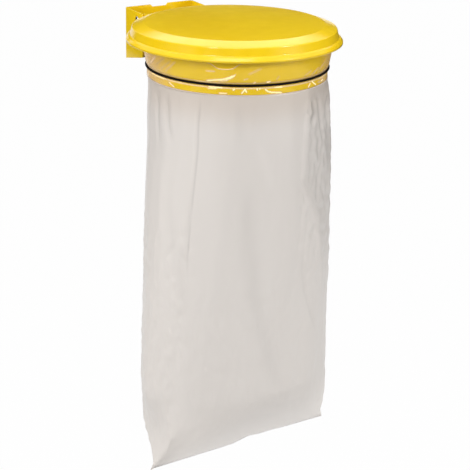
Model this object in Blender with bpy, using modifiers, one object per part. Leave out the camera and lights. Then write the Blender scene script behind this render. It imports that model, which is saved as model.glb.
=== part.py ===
"""Wall-mounted bin bag holder with a hinged lid, modelled at real size.

A folded steel bracket has a back plate for the wall and two cheeks. A tongue plate between the
cheeks carries a conical steel ring. A film bag is pulled over the outside of the ring and held
there by a round elastic strap. A pressed steel lid covers the ring and swings up about two pivot
pins in the cheeks.

Metres, +Z up. The origin is the centre of the back plate's rear face, +Y points into the wall and
the object stands out along -Y.
"""

import math

import bmesh
import bpy
from mathutils import Matrix, Vector

# Wall bracket, one folded sheet
BRACKET_HALF_WIDTH = 0.0845
BRACKET_HALF_HEIGHT = 0.0554
BRACKET_THICKNESS = 0.0030
CHEEK_REACH = 0.0720
CHEEK_TOP_FALL = 0.0030
CHEEK_BOTTOM_RISE = 0.0137
CHEEK_CORNER_RADIUS = 0.0050
NOTCH_HALF_WIDTH = 0.0170
NOTCH_DEPTH = 0.0050
SCREW_HOLE_RADIUS = 0.0042
SCREW_HOLE_X = 0.0560
SCREW_HOLE_Z = 0.0370

# Lid, pressed sheet
LID_REAR_FROM_WALL = 0.0750
LID_BRIM_HEIGHT = 0.0322
LID_THICKNESS = 0.0012
BRIM_BEYOND_RING = 0.0264
BRIM_WIDTH = 0.0085
BRIM_LIP_HEIGHT = 0.0060
CROWN_FOOT_RISE = 0.0100
CROWN_WALL_LEAN = 0.0035
CROWN_SHOULDER_RISE = 0.0266
BEVEL_WIDTH = 0.0270
CROWN_TOP_RISE = 0.0355
CROWN_DOME = 0.0030
SHOULDER_ROUNDING = 0.0030

# Hinge
HINGE_FROM_WALL = 0.0510
HINGE_ABOVE_BRIM = 0.0069
PIN_RADIUS = 0.0030
PIN_HEAD_RADIUS = 0.0052
PIN_HEAD_HEIGHT = 0.0018
PIN_END_BEYOND_CLIP = 0.0012
CLIP_RADIUS = 0.0050
CLIP_THICKNESS = 0.0010
WASHER_RADIUS = 0.0065
WASHER_THICKNESS = 0.0009
LUG_THICKNESS = 0.0025
LUG_TOP_ABOVE_PIN = 0.0100
LUG_TOE_FROM_PIN = 0.0140
LUG_TOE_TOP_ABOVE_BRIM = 0.0065
LEAF_THICKNESS = 0.0020
LEAF_BOTTOM_RISE = 0.0112
LEAF_TOP_RISE = 0.0238
RIVET_RADIUS = 0.0020
RIVET_HEAD_RADIUS = 0.0038
RIVET_HEAD_HEIGHT = 0.0018

# Bag ring, rolled sheet with a strap groove and a swaged bead
RING_REAR_FROM_WALL = 0.1134
RING_THICKNESS = 0.0015
RING_TOP_ABOVE_BRIM = 0.0030
RING_TOP_RADIUS = 0.1936
RING_CONE_TAPER = 0.0074
RING_CONE_END_DROP = 0.0410
RING_RIM_WIDTH = 0.0060
GROOVE_DEPTH = 0.0041
GROOVE_DROP = 0.0495
GROOVE_HALF_WIDTH = 0.0028
BEAD_BEYOND_GROOVE = 0.0011
BEAD_TOP_DROP = 0.0545
BEAD_BOTTOM_DROP = 0.0640
RING_FOOT_INSET = 0.0040
RING_BOTTOM_DROP = 0.0705
RING_CURL = 0.0030

# Support between the bracket and the ring
TONGUE_THICKNESS = 0.0030
TONGUE_TOP_BELOW_BRIM = 0.0095
TONGUE_BACK_FROM_WALL = 0.0300
TONGUE_NECK_HALF_WIDTH = 0.0480
TONGUE_NECK_FROM_WALL = 0.1000
SADDLE_THICKNESS = 0.0025
SADDLE_HALF_WIDTH = 0.0460
SADDLE_TOP_BELOW_BRIM = 0.0010
SADDLE_BOTTOM_BELOW_BRIM = 0.0245
SADDLE_BOLT_BELOW_TONGUE = 0.0058
BOLT_RADIUS = 0.0025
BOLT_HEAD_RADIUS = 0.0044
BOLT_HEAD_HEIGHT = 0.0024
NUT_RADIUS = 0.0046
NUT_HEIGHT = 0.0040
BOLT_WASHER_RADIUS = 0.0050
BOLT_WASHER_THICKNESS = 0.0010
BOLT_END_BEYOND_NUT = 0.0015

# Strap and bag
STRAP_RADIUS = 0.0023
FILM = 0.0006
HEM_BELOW_BRIM_FRONT = 0.0045
HEM_BELOW_SADDLE = 0.0035
BAG_LENGTH_BELOW_RING = 0.8295
SEAM_HALF_LENGTH = 0.2270
SEAM_HALF_THICKNESS = 0.0025
SEAM_ANGLE = math.radians(0.8)
SEAM_OFFSET_X = 0.0115
SEAM_OFFSET_Y = -0.0241
BAG_LEAN_X = 0.0075
BAG_LEAN_Y = -0.0050
BAG_EASE = 0.010
BAG_WIDENING = 2.3
BAG_FLAT_START = 0.80
BAG_GUSSET_DEPTH = 0.0160
BAG_FOLD_DEPTH = 0.0022
BAG_FOLD_COUNT = 7

# Fits and fineness
GAP = 0.0003
HOLE_CLEARANCE = 0.0003
SEGMENTS = 60
SMALL_SEGMENTS = 12
OVERRUN = 0.0100

PAINT_YELLOW = (0.86, 0.62, 0.02)
RUBBER_BLACK = (0.012, 0.012, 0.012)
FILM_GREY = (0.71, 0.66, 0.62)
ZINC_GREY = (0.55, 0.55, 0.56)
NYLON_WHITE = (0.72, 0.72, 0.70)

# Radii and places worked out from the sizes above
CONE_END_RADIUS = RING_TOP_RADIUS - RING_CONE_TAPER
GROOVE_RADIUS = CONE_END_RADIUS - GROOVE_DEPTH
BEAD_RADIUS = GROOVE_RADIUS + BEAD_BEYOND_GROOVE
FOOT_RADIUS = BEAD_RADIUS - RING_FOOT_INSET
BRIM_RADIUS = RING_TOP_RADIUS + BRIM_BEYOND_RING
CROWN_FOOT_RADIUS = BRIM_RADIUS - BRIM_WIDTH
CROWN_SHOULDER_RADIUS = CROWN_FOOT_RADIUS - CROWN_WALL_LEAN
CROWN_TOP_RADIUS = CROWN_SHOULDER_RADIUS - BEVEL_WIDTH
LID_CENTRE = Vector((0.0, -LID_REAR_FROM_WALL - BRIM_RADIUS, LID_BRIM_HEIGHT))
RING_CENTRE = Vector((0.0, -RING_REAR_FROM_WALL - RING_TOP_RADIUS, LID_BRIM_HEIGHT))
HINGE = Vector((0.0, -HINGE_FROM_WALL, LID_BRIM_HEIGHT + HINGE_ABOVE_BRIM))
TONGUE_TOP = LID_BRIM_HEIGHT - TONGUE_TOP_BELOW_BRIM
HEEL_RADIUS = HINGE.z - TONGUE_TOP - GAP
CHEEK_INSIDE = BRACKET_HALF_WIDTH - BRACKET_THICKNESS
LUG_OUTSIDE = CHEEK_INSIDE - GAP - WASHER_THICKNESS - GAP
PIN_HOLE_RADIUS = PIN_RADIUS + HOLE_CLEARANCE
FACET = 2 * math.pi / SEGMENTS

PLAN = Matrix.Identity(4)
FRONT = Matrix.Rotation(math.radians(90), 4, "X")
SIDE = Matrix(((0, 0, 1, 0), (1, 0, 0, 0), (0, 1, 0, 0), (0, 0, 0, 1)))


def clear_scene():
    """Remove every object of the open scene."""
    for item in list(bpy.context.scene.objects):
        bpy.data.objects.remove(item, do_unlink=True)


def new_collection(name):
    """Add a collection to the scene."""
    made = bpy.data.collections.new(name)
    bpy.context.scene.collection.children.link(made)
    return made


def finish_material(name, colour, roughness, metallic=0.0, alpha=1.0):
    """Make a Principled material of one finish."""
    made = bpy.data.materials.new(name)
    made.use_nodes = True
    shader = made.node_tree.nodes["Principled BSDF"]
    shader.inputs["Base Color"].default_value = (*colour, 1.0)
    shader.inputs["Roughness"].default_value = roughness
    shader.inputs["Metallic"].default_value = metallic
    shader.inputs["Alpha"].default_value = alpha
    made.diffuse_color = (*colour, alpha)
    return made


def place(name, mesh, matrix=PLAN):
    """Put a mesh in the cutters' collection under a name, until it is kept as a part."""
    made = bpy.data.objects.new(name, mesh)
    made.matrix_world = matrix
    CUTTERS.objects.link(made)
    made.hide_render = True
    made.display_type = "WIRE"
    return made


def keep(item, material, parent=None):
    """Move an object into the part's collection and give it its material."""
    CUTTERS.objects.unlink(item)
    PART.objects.link(item)
    item.hide_render = False
    item.display_type = "TEXTURED"
    item.data.materials.clear()
    item.data.materials.append(material)
    if parent:
        world = item.matrix_world.copy()
        bpy.context.view_layer.update()
        item.parent = parent
        item.matrix_parent_inverse = parent.matrix_world.inverted()
        item.matrix_world = world
    return item


def combine(item, other, operation):
    """Join, cut or intersect an object with another one."""
    step = item.modifiers.new(f"{operation.lower()} {other.name}", "BOOLEAN")
    step.operation = operation
    step.solver = "EXACT"
    step.object = other


def rounded(corners, radius, steps=3):
    """Return a closed outline with each corner rounded by an arc."""
    outline = []
    count = len(corners)
    for i in range(count):
        corner = Vector(corners[i])
        back = (Vector(corners[i - 1]) - corner).normalized()
        ahead = (Vector(corners[(i + 1) % count]) - corner).normalized()
        half = back.angle(ahead) / 2
        centre = corner + (back + ahead).normalized() * radius / math.sin(half)
        run = radius / math.tan(half)
        first = corner + back * run - centre
        last = corner + ahead * run - centre
        for k in range(steps + 1):
            outline.append(centre + first.slerp(last, k / steps) * radius)
    return outline


def circle(centre_x, centre_y, radius, segments):
    """Return the points of a circle."""
    turn = 2 * math.pi / segments
    return [
        (centre_x + radius * math.cos(i * turn), centre_y + radius * math.sin(i * turn))
        for i in range(segments)
    ]


def offset_path(path, distance):
    """Shift an open path sideways, to the left of its direction, with mitred corners."""
    points = [Vector(point) for point in path]
    normals = []
    for a, b in zip(points, points[1:]):
        along = (b - a).normalized()
        normals.append(Vector((-along.y, along.x)))
    shifted = []
    for i, point in enumerate(points):
        before = normals[max(i - 1, 0)]
        after = normals[min(i, len(normals) - 1)]
        mitre = (before + after).normalized()
        shifted.append(point + mitre * distance / mitre.dot(after))
    return shifted


def slab(name, outlines, low, high, frame=PLAN):
    """Extrude flat outlines from low to high along the frame's third axis."""
    curve = bpy.data.curves.new(name, "CURVE")
    curve.dimensions = "2D"
    curve.fill_mode = "BOTH"
    curve.extrude = (high - low) / 2
    for outline in outlines:
        spline = curve.splines.new("POLY")
        spline.points.add(len(outline) - 1)
        for point, (x, y) in zip(spline.points, outline):
            point.co = (x, y, 0.0, 1.0)
        spline.use_cyclic_u = True
    guide = bpy.data.objects.new(name, curve)
    CUTTERS.objects.link(guide)
    evaluated = guide.evaluated_get(bpy.context.evaluated_depsgraph_get())
    mesh = bpy.data.meshes.new_from_object(evaluated)
    bpy.data.objects.remove(guide)
    bpy.data.curves.remove(curve)
    shape = bmesh.new()
    shape.from_mesh(mesh)
    bmesh.ops.remove_doubles(shape, verts=shape.verts, dist=1e-6)
    bmesh.ops.recalc_face_normals(shape, faces=shape.faces)
    shape.to_mesh(mesh)
    shape.free()
    mesh.name = name
    return place(name, mesh, frame @ Matrix.Translation((0, 0, (low + high) / 2)))


def turned(name, profile, frame, closed=False, steps=SEGMENTS):
    """Turn a profile of (radius, height) about the frame's third axis."""
    mesh = bpy.data.meshes.new(name)
    edges = [(i, i + 1) for i in range(len(profile) - 1)]
    if closed:
        edges.append((len(profile) - 1, 0))
    mesh.from_pydata([(radius, 0.0, height) for radius, height in profile], edges, [])
    made = place(name, mesh, frame)
    screw = made.modifiers.new("turn", "SCREW")
    screw.steps = steps
    screw.render_steps = steps
    screw.use_merge_vertices = True
    screw.merge_threshold = 1e-5
    screw.use_smooth_shade = True
    return made


def shell(item, thickness):
    """Give an open surface a wall on its inner side."""
    wall = item.modifiers.new("wall", "SOLIDIFY")
    wall.thickness = thickness
    wall.offset = -1.0
    wall.use_even_offset = True


def rod(name, radius, low, high, frame, steps=SMALL_SEGMENTS):
    """Make a plain round bar along the frame's third axis."""
    return turned(name, [(0, high), (radius, high), (radius, low), (0, low)], frame, steps=steps)


def wall_frame(centre, facets, radius, height, tilt=0.0):
    """Return a frame on a facet of a turned wall, counted from the rear, its third axis pointing out."""
    angle = facets * FACET
    outward = Vector((math.sin(angle), math.cos(angle), 0.0))
    spot = centre + outward * radius * math.cos(FACET / 2)
    spot.z = height
    axis = outward * math.cos(tilt) + Vector((0, 0, math.sin(tilt)))
    return Matrix.Translation(spot) @ axis.to_track_quat("Z", "X").to_matrix().to_4x4()


def lid_profile():
    """Return the lid's outer profile from its centre to the edge of the brim."""
    brim_top = CROWN_FOOT_RISE - BRIM_LIP_HEIGHT
    bevel_run = CROWN_SHOULDER_RADIUS - CROWN_TOP_RADIUS
    bevel_drop = CROWN_TOP_RISE - CROWN_SHOULDER_RISE
    share = SHOULDER_ROUNDING / bevel_run
    return [
        (0.0, CROWN_TOP_RISE + CROWN_DOME),
        (CROWN_TOP_RADIUS * 0.55, CROWN_TOP_RISE + CROWN_DOME * 0.75),
        (CROWN_TOP_RADIUS - 2 * SHOULDER_ROUNDING, CROWN_TOP_RISE + CROWN_DOME * 0.1),
        (CROWN_TOP_RADIUS + SHOULDER_ROUNDING, CROWN_TOP_RISE - bevel_drop * share),
        (CROWN_SHOULDER_RADIUS - SHOULDER_ROUNDING, CROWN_SHOULDER_RISE + bevel_drop * share),
        (CROWN_SHOULDER_RADIUS, CROWN_SHOULDER_RISE - SHOULDER_ROUNDING / 2),
        (CROWN_FOOT_RADIUS, CROWN_FOOT_RISE),
        ((CROWN_FOOT_RADIUS + BRIM_RADIUS) / 2, brim_top + BRIM_LIP_HEIGHT / 2),
        (BRIM_RADIUS - LID_THICKNESS, brim_top + BRIM_LIP_HEIGHT / 4),
        (BRIM_RADIUS, brim_top),
        (BRIM_RADIUS, 0.0),
    ]


def crown_radius(rise):
    """Return the radius of the crown's outer wall at a rise above the brim."""
    share = (rise - CROWN_FOOT_RISE) / (CROWN_SHOULDER_RISE - SHOULDER_ROUNDING / 2 - CROWN_FOOT_RISE)
    return CROWN_FOOT_RADIUS + share * (CROWN_SHOULDER_RADIUS - CROWN_FOOT_RADIUS)


def cone_radius(drop):
    """Return the ring's outer radius at a drop below the brim, along its conical part."""
    share = (drop + RING_TOP_ABOVE_BRIM) / (RING_CONE_END_DROP + RING_TOP_ABOVE_BRIM)
    return RING_TOP_RADIUS + share * (CONE_END_RADIUS - RING_TOP_RADIUS)


def ring_outer_profile():
    """Return the ring's outer wall from its top edge to its foot, as (radius, height)."""
    return [
        (RING_TOP_RADIUS, RING_TOP_ABOVE_BRIM),
        (CONE_END_RADIUS, -RING_CONE_END_DROP),
        (GROOVE_RADIUS + GROOVE_HALF_WIDTH / 5, GROOVE_HALF_WIDTH - GROOVE_DROP),
        (GROOVE_RADIUS, -GROOVE_DROP),
        (GROOVE_RADIUS + GROOVE_HALF_WIDTH / 10, -GROOVE_HALF_WIDTH - GROOVE_DROP),
        (BEAD_RADIUS, -BEAD_TOP_DROP),
        (BEAD_RADIUS, -BEAD_BOTTOM_DROP),
        (FOOT_RADIUS, -RING_BOTTOM_DROP),
    ]


def make_bracket():
    """Make the wall bracket: a notched back plate with screw holes and a cheek folded at each end."""
    inner = CHEEK_INSIDE
    plan = [
        (-BRACKET_HALF_WIDTH, -CHEEK_REACH),
        (-BRACKET_HALF_WIDTH, 0.0),
        (BRACKET_HALF_WIDTH, 0.0),
        (BRACKET_HALF_WIDTH, -CHEEK_REACH),
        (inner, -CHEEK_REACH),
        (inner, -BRACKET_THICKNESS),
        (-inner, -BRACKET_THICKNESS),
        (-inner, -CHEEK_REACH),
    ]
    tall = BRACKET_HALF_HEIGHT + OVERRUN
    span = BRACKET_HALF_WIDTH + OVERRUN
    bracket = slab("wall_bracket", [plan], -tall, tall)
    cheek = [
        (-CHEEK_REACH, CHEEK_BOTTOM_RISE - BRACKET_HALF_HEIGHT),
        (-CHEEK_REACH, BRACKET_HALF_HEIGHT - CHEEK_TOP_FALL),
        (OVERRUN, BRACKET_HALF_HEIGHT + CHEEK_TOP_FALL * OVERRUN / CHEEK_REACH),
        (OVERRUN, -BRACKET_HALF_HEIGHT - CHEEK_BOTTOM_RISE * OVERRUN / CHEEK_REACH),
    ]
    side = slab("cheek outline", [rounded(cheek, CHEEK_CORNER_RADIUS)], -span, span, SIDE)
    combine(bracket, side, "INTERSECT")

    notch_top = BRACKET_HALF_HEIGHT + OVERRUN
    notch_run = NOTCH_HALF_WIDTH + NOTCH_DEPTH
    notch = [
        (-notch_run, notch_top),
        (-notch_run, BRACKET_HALF_HEIGHT),
        (-NOTCH_HALF_WIDTH, BRACKET_HALF_HEIGHT - NOTCH_DEPTH),
        (NOTCH_HALF_WIDTH, BRACKET_HALF_HEIGHT - NOTCH_DEPTH),
        (notch_run, BRACKET_HALF_HEIGHT),
        (notch_run, notch_top),
    ]
    combine(bracket, slab("plate notch", [notch], -OVERRUN, OVERRUN, FRONT), "DIFFERENCE")
    for across in (-SCREW_HOLE_X, SCREW_HOLE_X):
        for level in (-SCREW_HOLE_Z, SCREW_HOLE_Z):
            hole = circle(across, level, SCREW_HOLE_RADIUS, 2 * SMALL_SEGMENTS)
            combine(bracket, slab("screw hole", [hole], -OVERRUN, OVERRUN, FRONT), "DIFFERENCE")
    bore = rod("cheek bore", PIN_HOLE_RADIUS, -span, span, hinge_frame(), 2 * SMALL_SEGMENTS)
    combine(bracket, bore, "DIFFERENCE")
    return bracket


def hinge_frame():
    """Return a frame at the hinge whose third axis is the hinge's own."""
    return Matrix.Translation(HINGE) @ Matrix.Rotation(math.radians(90), 4, "Y")


def make_tongue():
    """Make the plate between the cheeks that narrows to a neck and reaches the ring."""
    wide = CHEEK_INSIDE - GAP
    front = RING_CENTRE.y
    outline = [
        (-wide, -TONGUE_BACK_FROM_WALL),
        (wide, -TONGUE_BACK_FROM_WALL),
        (wide, -CHEEK_REACH),
        (TONGUE_NECK_HALF_WIDTH, -TONGUE_NECK_FROM_WALL),
        (TONGUE_NECK_HALF_WIDTH, front),
        (-TONGUE_NECK_HALF_WIDTH, front),
        (-TONGUE_NECK_HALF_WIDTH, -TONGUE_NECK_FROM_WALL),
        (-wide, -CHEEK_REACH),
    ]
    bottom = TONGUE_TOP - TONGUE_THICKNESS
    tongue = slab("ring_tongue", [outline], bottom, TONGUE_TOP)
    reach = cone_radius(TONGUE_TOP_BELOW_BRIM) + GAP + SADDLE_THICKNESS + GAP
    ring_space = rod(
        "ring space", reach, -OVERRUN, OVERRUN, Matrix.Translation((0, RING_CENTRE.y, bottom)), SEGMENTS
    )
    combine(tongue, ring_space, "DIFFERENCE")
    return tongue


def saddle_bolt_frames():
    """Return the frames of the two bolts, on the ring's outer wall."""
    drop = TONGUE_TOP_BELOW_BRIM + TONGUE_THICKNESS + SADDLE_BOLT_BELOW_TONGUE
    slope = math.atan2(RING_CONE_TAPER, RING_CONE_END_DROP + RING_TOP_ABOVE_BRIM)
    height = LID_BRIM_HEIGHT - drop
    return [
        wall_frame(RING_CENTRE, facets, cone_radius(drop), height, -slope)
        for facets in (-1.5, 1.5)
    ]


def make_saddle(bolt_bores):
    """Make the curved plate that is bolted to the ring's rear wall."""
    wall = [
        (cone_radius(drop) + GAP, -drop) for drop in (SADDLE_TOP_BELOW_BRIM, SADDLE_BOTTOM_BELOW_BRIM)
    ]
    outer = offset_path(wall, SADDLE_THICKNESS)
    profile = [tuple(p) for p in outer] + [tuple(p) for p in reversed(wall)]
    saddle = turned("ring_saddle", profile, Matrix.Translation(RING_CENTRE), closed=True)
    rear = [
        (-SADDLE_HALF_WIDTH, RING_CENTRE.y),
        (SADDLE_HALF_WIDTH, RING_CENTRE.y),
        (SADDLE_HALF_WIDTH, 0.0),
        (-SADDLE_HALF_WIDTH, 0.0),
    ]
    window = slab("saddle window", [rear], -OVERRUN, LID_BRIM_HEIGHT + OVERRUN)
    combine(saddle, window, "INTERSECT")
    for bore in bolt_bores:
        combine(saddle, bore, "DIFFERENCE")
    return saddle


def make_ring(bolt_bores):
    """Make the bag ring: rim, cone, strap groove, bead and curled foot in one rolled sheet."""
    rim = (RING_TOP_RADIUS - RING_RIM_WIDTH, RING_TOP_ABOVE_BRIM)
    curl = (FOOT_RADIUS - RING_CURL, -RING_BOTTOM_DROP)
    ring = turned("bag_ring", [rim, *ring_outer_profile(), curl], Matrix.Translation(RING_CENTRE))
    shell(ring, RING_THICKNESS)
    for bore in bolt_bores:
        combine(ring, bore, "DIFFERENCE")
    return ring


def make_strap():
    """Make the round elastic strap that lies in the groove over the film."""
    centre_radius = GROOVE_RADIUS + GAP + FILM + GAP + STRAP_RADIUS
    turn = 2 * math.pi / 8
    profile = [
        (
            centre_radius + STRAP_RADIUS * math.cos(turn * i),
            -GROOVE_DROP - STRAP_RADIUS * math.sin(turn * i),
        )
        for i in range(8)
    ]
    return turned("elastic_strap", profile, Matrix.Translation(RING_CENTRE), closed=True)


def smooth(share):
    """Return a share from 0 to 1 eased at both ends."""
    share = min(max(share, 0.0), 1.0)
    return share * share * (3 - 2 * share)


def bag_section(share, angle):
    """Return a point of the hanging bag, at a share of the way from the ring to the seam."""
    neck = BEAD_RADIUS + GAP + FILM
    widen = 1 - (1 - share) ** BAG_WIDENING
    half_length = neck + (SEAM_HALF_LENGTH - neck) * widen
    perimeter_radius = neck * (1 + BAG_EASE * smooth(share * 8))
    half_depth = math.sqrt(max(2 * perimeter_radius ** 2 - half_length ** 2, SEAM_HALF_THICKNESS ** 2))
    closing = max(share - BAG_FLAT_START, 0.0) / (1 - BAG_FLAT_START)
    half_depth = SEAM_HALF_THICKNESS + (half_depth - SEAM_HALF_THICKNESS) * (1 - closing ** 1.6)
    local = angle - SEAM_ANGLE
    squareness = 1 / (1 + 0.8 * smooth(closing))
    cosine = math.copysign(abs(math.cos(local)) ** squareness, math.cos(local))
    sine = math.copysign(abs(math.sin(local)) ** squareness, math.sin(local))
    tuck = BAG_GUSSET_DEPTH * math.sin(math.pi * closing) * max(abs(math.cos(local)) * 8 - 7, 0.0)
    fold = BAG_FOLD_DEPTH * smooth(share * 6) * (1 - smooth(share * 1.5)) * math.cos(BAG_FOLD_COUNT * local + 1.1)
    x = (half_length + fold - tuck) * cosine
    y = (half_depth + fold * (1 - closing)) * sine
    turned_x = x * math.cos(SEAM_ANGLE) - y * math.sin(SEAM_ANGLE)
    turned_y = x * math.sin(SEAM_ANGLE) + y * math.cos(SEAM_ANGLE)
    lean = smooth(share * 6)
    last = closing ** 2
    shift_x = BAG_LEAN_X * lean + (SEAM_OFFSET_X - BAG_LEAN_X) * last
    shift_y = BAG_LEAN_Y * lean + (SEAM_OFFSET_Y - BAG_LEAN_Y) * last
    return turned_x + shift_x, turned_y + shift_y


def make_bag():
    """Loft the bag: it follows the ring from its hem to the bead, then hangs down to a flat seam."""
    neck = [Vector(point) for point in offset_path(ring_outer_profile(), GAP + FILM)]
    top, cone_end = neck[0], neck[1]
    hem_front = -HEM_BELOW_BRIM_FRONT
    hem_rear = -SADDLE_BOTTOM_BELOW_BRIM - HEM_BELOW_SADDLE
    angles = [2 * math.pi * i / SEGMENTS for i in range(SEGMENTS)]
    rows = []
    hem = []
    for angle in angles:
        height = hem_front + (hem_rear - hem_front) * (1 + math.sin(angle)) / 2
        radius = top.x + (cone_end.x - top.x) * (height - top.y) / (cone_end.y - top.y)
        hem.append((radius * math.cos(angle), radius * math.sin(angle), height))
    rows.append(hem)
    foot = -RING_BOTTOM_DROP
    for radius, height in [*neck[1:-1], (BEAD_RADIUS + GAP + FILM, foot)]:
        rows.append([(radius * math.cos(angle), radius * math.sin(angle), height) for angle in angles])
    shares = [0.012, 0.035, 0.08, 0.15, 0.25, 0.37, 0.50, 0.62, 0.73, 0.82, 0.88, 0.93, 0.97, 1.0]
    for share in shares:
        height = foot - share * BAG_LENGTH_BELOW_RING
        rows.append([(*bag_section(share, angle), height) for angle in angles])

    shape = bmesh.new()
    loops = [[shape.verts.new(point) for point in row] for row in rows]
    for upper, lower in zip(loops, loops[1:]):
        for i in range(SEGMENTS):
            following = (i + 1) % SEGMENTS
            shape.faces.new((upper[i], lower[i], lower[following], upper[following]))
    shape.faces.new(list(reversed(loops[-1])))
    mesh = bpy.data.meshes.new("waste_bag")
    shape.to_mesh(mesh)
    shape.free()
    mesh.shade_smooth()
    bag = place("waste_bag", mesh, Matrix.Translation(RING_CENTRE))
    shell(bag, FILM)
    return bag


def make_lid(rivet_bores):
    """Make the pressed lid as a turned shell with rivet holes in its rear wall."""
    lid = turned("lid", lid_profile(), Matrix.Translation(LID_CENTRE))
    shell(lid, LID_THICKNESS)
    for bore in rivet_bores:
        combine(lid, bore, "DIFFERENCE")
    return lid


def make_lid_hinge(rivet_bores):
    """Make the lid's hinge: a leaf riveted to the crown's rear wall, with a lug at each end."""
    wall = [
        (crown_radius(rise) + GAP, rise) for rise in (LEAF_TOP_RISE, LEAF_BOTTOM_RISE)
    ]
    outer = offset_path(wall, LEAF_THICKNESS)
    profile = [tuple(p) for p in outer] + [tuple(p) for p in reversed(wall)]
    hinge = turned("lid_hinge", profile, Matrix.Translation(LID_CENTRE), closed=True)
    rear = [
        (-LUG_OUTSIDE, LID_CENTRE.y),
        (LUG_OUTSIDE, LID_CENTRE.y),
        (LUG_OUTSIDE, 0.0),
        (-LUG_OUTSIDE, 0.0),
    ]
    combine(hinge, slab("leaf window", [rear], 0.0, LID_BRIM_HEIGHT + 5 * OVERRUN), "INTERSECT")

    leaf_middle = crown_radius(LEAF_BOTTOM_RISE) + GAP + LEAF_THICKNESS / 2
    lug_front = LID_CENTRE.y + math.sqrt(leaf_middle ** 2 - LUG_OUTSIDE ** 2)
    round_steps = 6
    heel = []
    for i in range(round_steps + 1):
        turn = math.pi / 2 * i / round_steps
        heel.append((HINGE.y + HEEL_RADIUS * math.cos(turn), HINGE.z - HEEL_RADIUS * math.sin(turn)))
    leaf_top = LID_BRIM_HEIGHT + LEAF_TOP_RISE
    toe = LID_BRIM_HEIGHT + LUG_TOE_TOP_ABOVE_BRIM
    outline = [
        (lug_front, leaf_top),
        (HINGE.y + HEEL_RADIUS, HINGE.z + LUG_TOP_ABOVE_PIN),
        *heel,
        (HINGE.y - LUG_TOE_FROM_PIN, HINGE.z - HEEL_RADIUS),
        (HINGE.y - LUG_TOE_FROM_PIN, toe),
        (lug_front, LID_BRIM_HEIGHT + LEAF_BOTTOM_RISE),
    ]
    for low, high in ((-LUG_OUTSIDE, LUG_THICKNESS - LUG_OUTSIDE), (LUG_OUTSIDE - LUG_THICKNESS, LUG_OUTSIDE)):
        combine(hinge, slab("lug", [outline], low, high, SIDE), "UNION")
    bore = rod("lug bore", PIN_HOLE_RADIUS, -CHEEK_INSIDE, CHEEK_INSIDE, hinge_frame(), 2 * SMALL_SEGMENTS)
    combine(hinge, bore, "DIFFERENCE")
    for rivet_bore in rivet_bores:
        combine(hinge, rivet_bore, "DIFFERENCE")
    return hinge


def rivet_frames():
    """Return the frames of the four rivets, on the outer face of the crown's rear wall."""
    rise = (CROWN_FOOT_RISE + CROWN_SHOULDER_RISE) / 2
    run = crown_radius(CROWN_FOOT_RISE) - crown_radius(CROWN_SHOULDER_RISE)
    slope = math.atan2(run, CROWN_SHOULDER_RISE - CROWN_FOOT_RISE)
    height = LID_BRIM_HEIGHT + rise
    return [
        wall_frame(LID_CENTRE, facets, crown_radius(rise), height, slope)
        for facets in (-2.5, -0.5, 0.5, 2.5)
    ]


def make_rivet(name, frame):
    """Make a rivet through the crown's wall and the hinge leaf, with a domed head on each side."""
    outside = GAP + LEAF_THICKNESS + GAP
    inside = -LID_THICKNESS - GAP
    profile = [
        (0.0, outside + RIVET_HEAD_HEIGHT),
        (RIVET_HEAD_RADIUS * 0.7, outside + RIVET_HEAD_HEIGHT * 0.7),
        (RIVET_HEAD_RADIUS, outside),
        (RIVET_RADIUS, outside),
        (RIVET_RADIUS, inside),
        (RIVET_HEAD_RADIUS, inside),
        (RIVET_HEAD_RADIUS * 0.8, inside - RIVET_HEAD_HEIGHT * 0.6),
        (0.0, inside - RIVET_HEAD_HEIGHT * 0.6),
    ]
    return turned(name, profile, frame, steps=SMALL_SEGMENTS)


def ring_disc(name, outer_radius, bore_radius, low, high, frame, steps=SMALL_SEGMENTS):
    """Make a flat round washer along the frame's third axis."""
    profile = [(outer_radius, high), (outer_radius, low), (bore_radius, low), (bore_radius, high)]
    return turned(name, profile, frame, closed=True, steps=steps)


def make_pivot(name, side):
    """Make a pivot pin with its washer and its clip, on the left (-1) or the right (1)."""
    frame = hinge_frame()
    if side < 0:
        frame = frame @ Matrix.Rotation(math.pi, 4, "X")
    head = BRACKET_HALF_WIDTH + GAP
    clip_outside = LUG_OUTSIDE - LUG_THICKNESS - GAP
    clip_inside = clip_outside - CLIP_THICKNESS
    steps = 2 * SMALL_SEGMENTS
    profile = [
        (0.0, head + PIN_HEAD_HEIGHT),
        (PIN_HEAD_RADIUS * 0.75, head + PIN_HEAD_HEIGHT),
        (PIN_HEAD_RADIUS, head + PIN_HEAD_HEIGHT * 0.4),
        (PIN_HEAD_RADIUS, head),
        (PIN_RADIUS, head),
        (PIN_RADIUS, clip_inside - PIN_END_BEYOND_CLIP),
        (0.0, clip_inside - PIN_END_BEYOND_CLIP),
    ]
    pin = turned(f"pivot_pin_{name}", profile, frame, steps=steps)
    washer_low = LUG_OUTSIDE + GAP
    washer = ring_disc(
        f"hinge_washer_{name}",
        WASHER_RADIUS,
        PIN_HOLE_RADIUS,
        washer_low,
        washer_low + WASHER_THICKNESS,
        frame,
        steps,
    )
    clip = ring_disc(
        f"pin_clip_{name}", CLIP_RADIUS, PIN_HOLE_RADIUS, clip_inside, clip_outside, frame, steps
    )
    return pin, washer, clip


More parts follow.
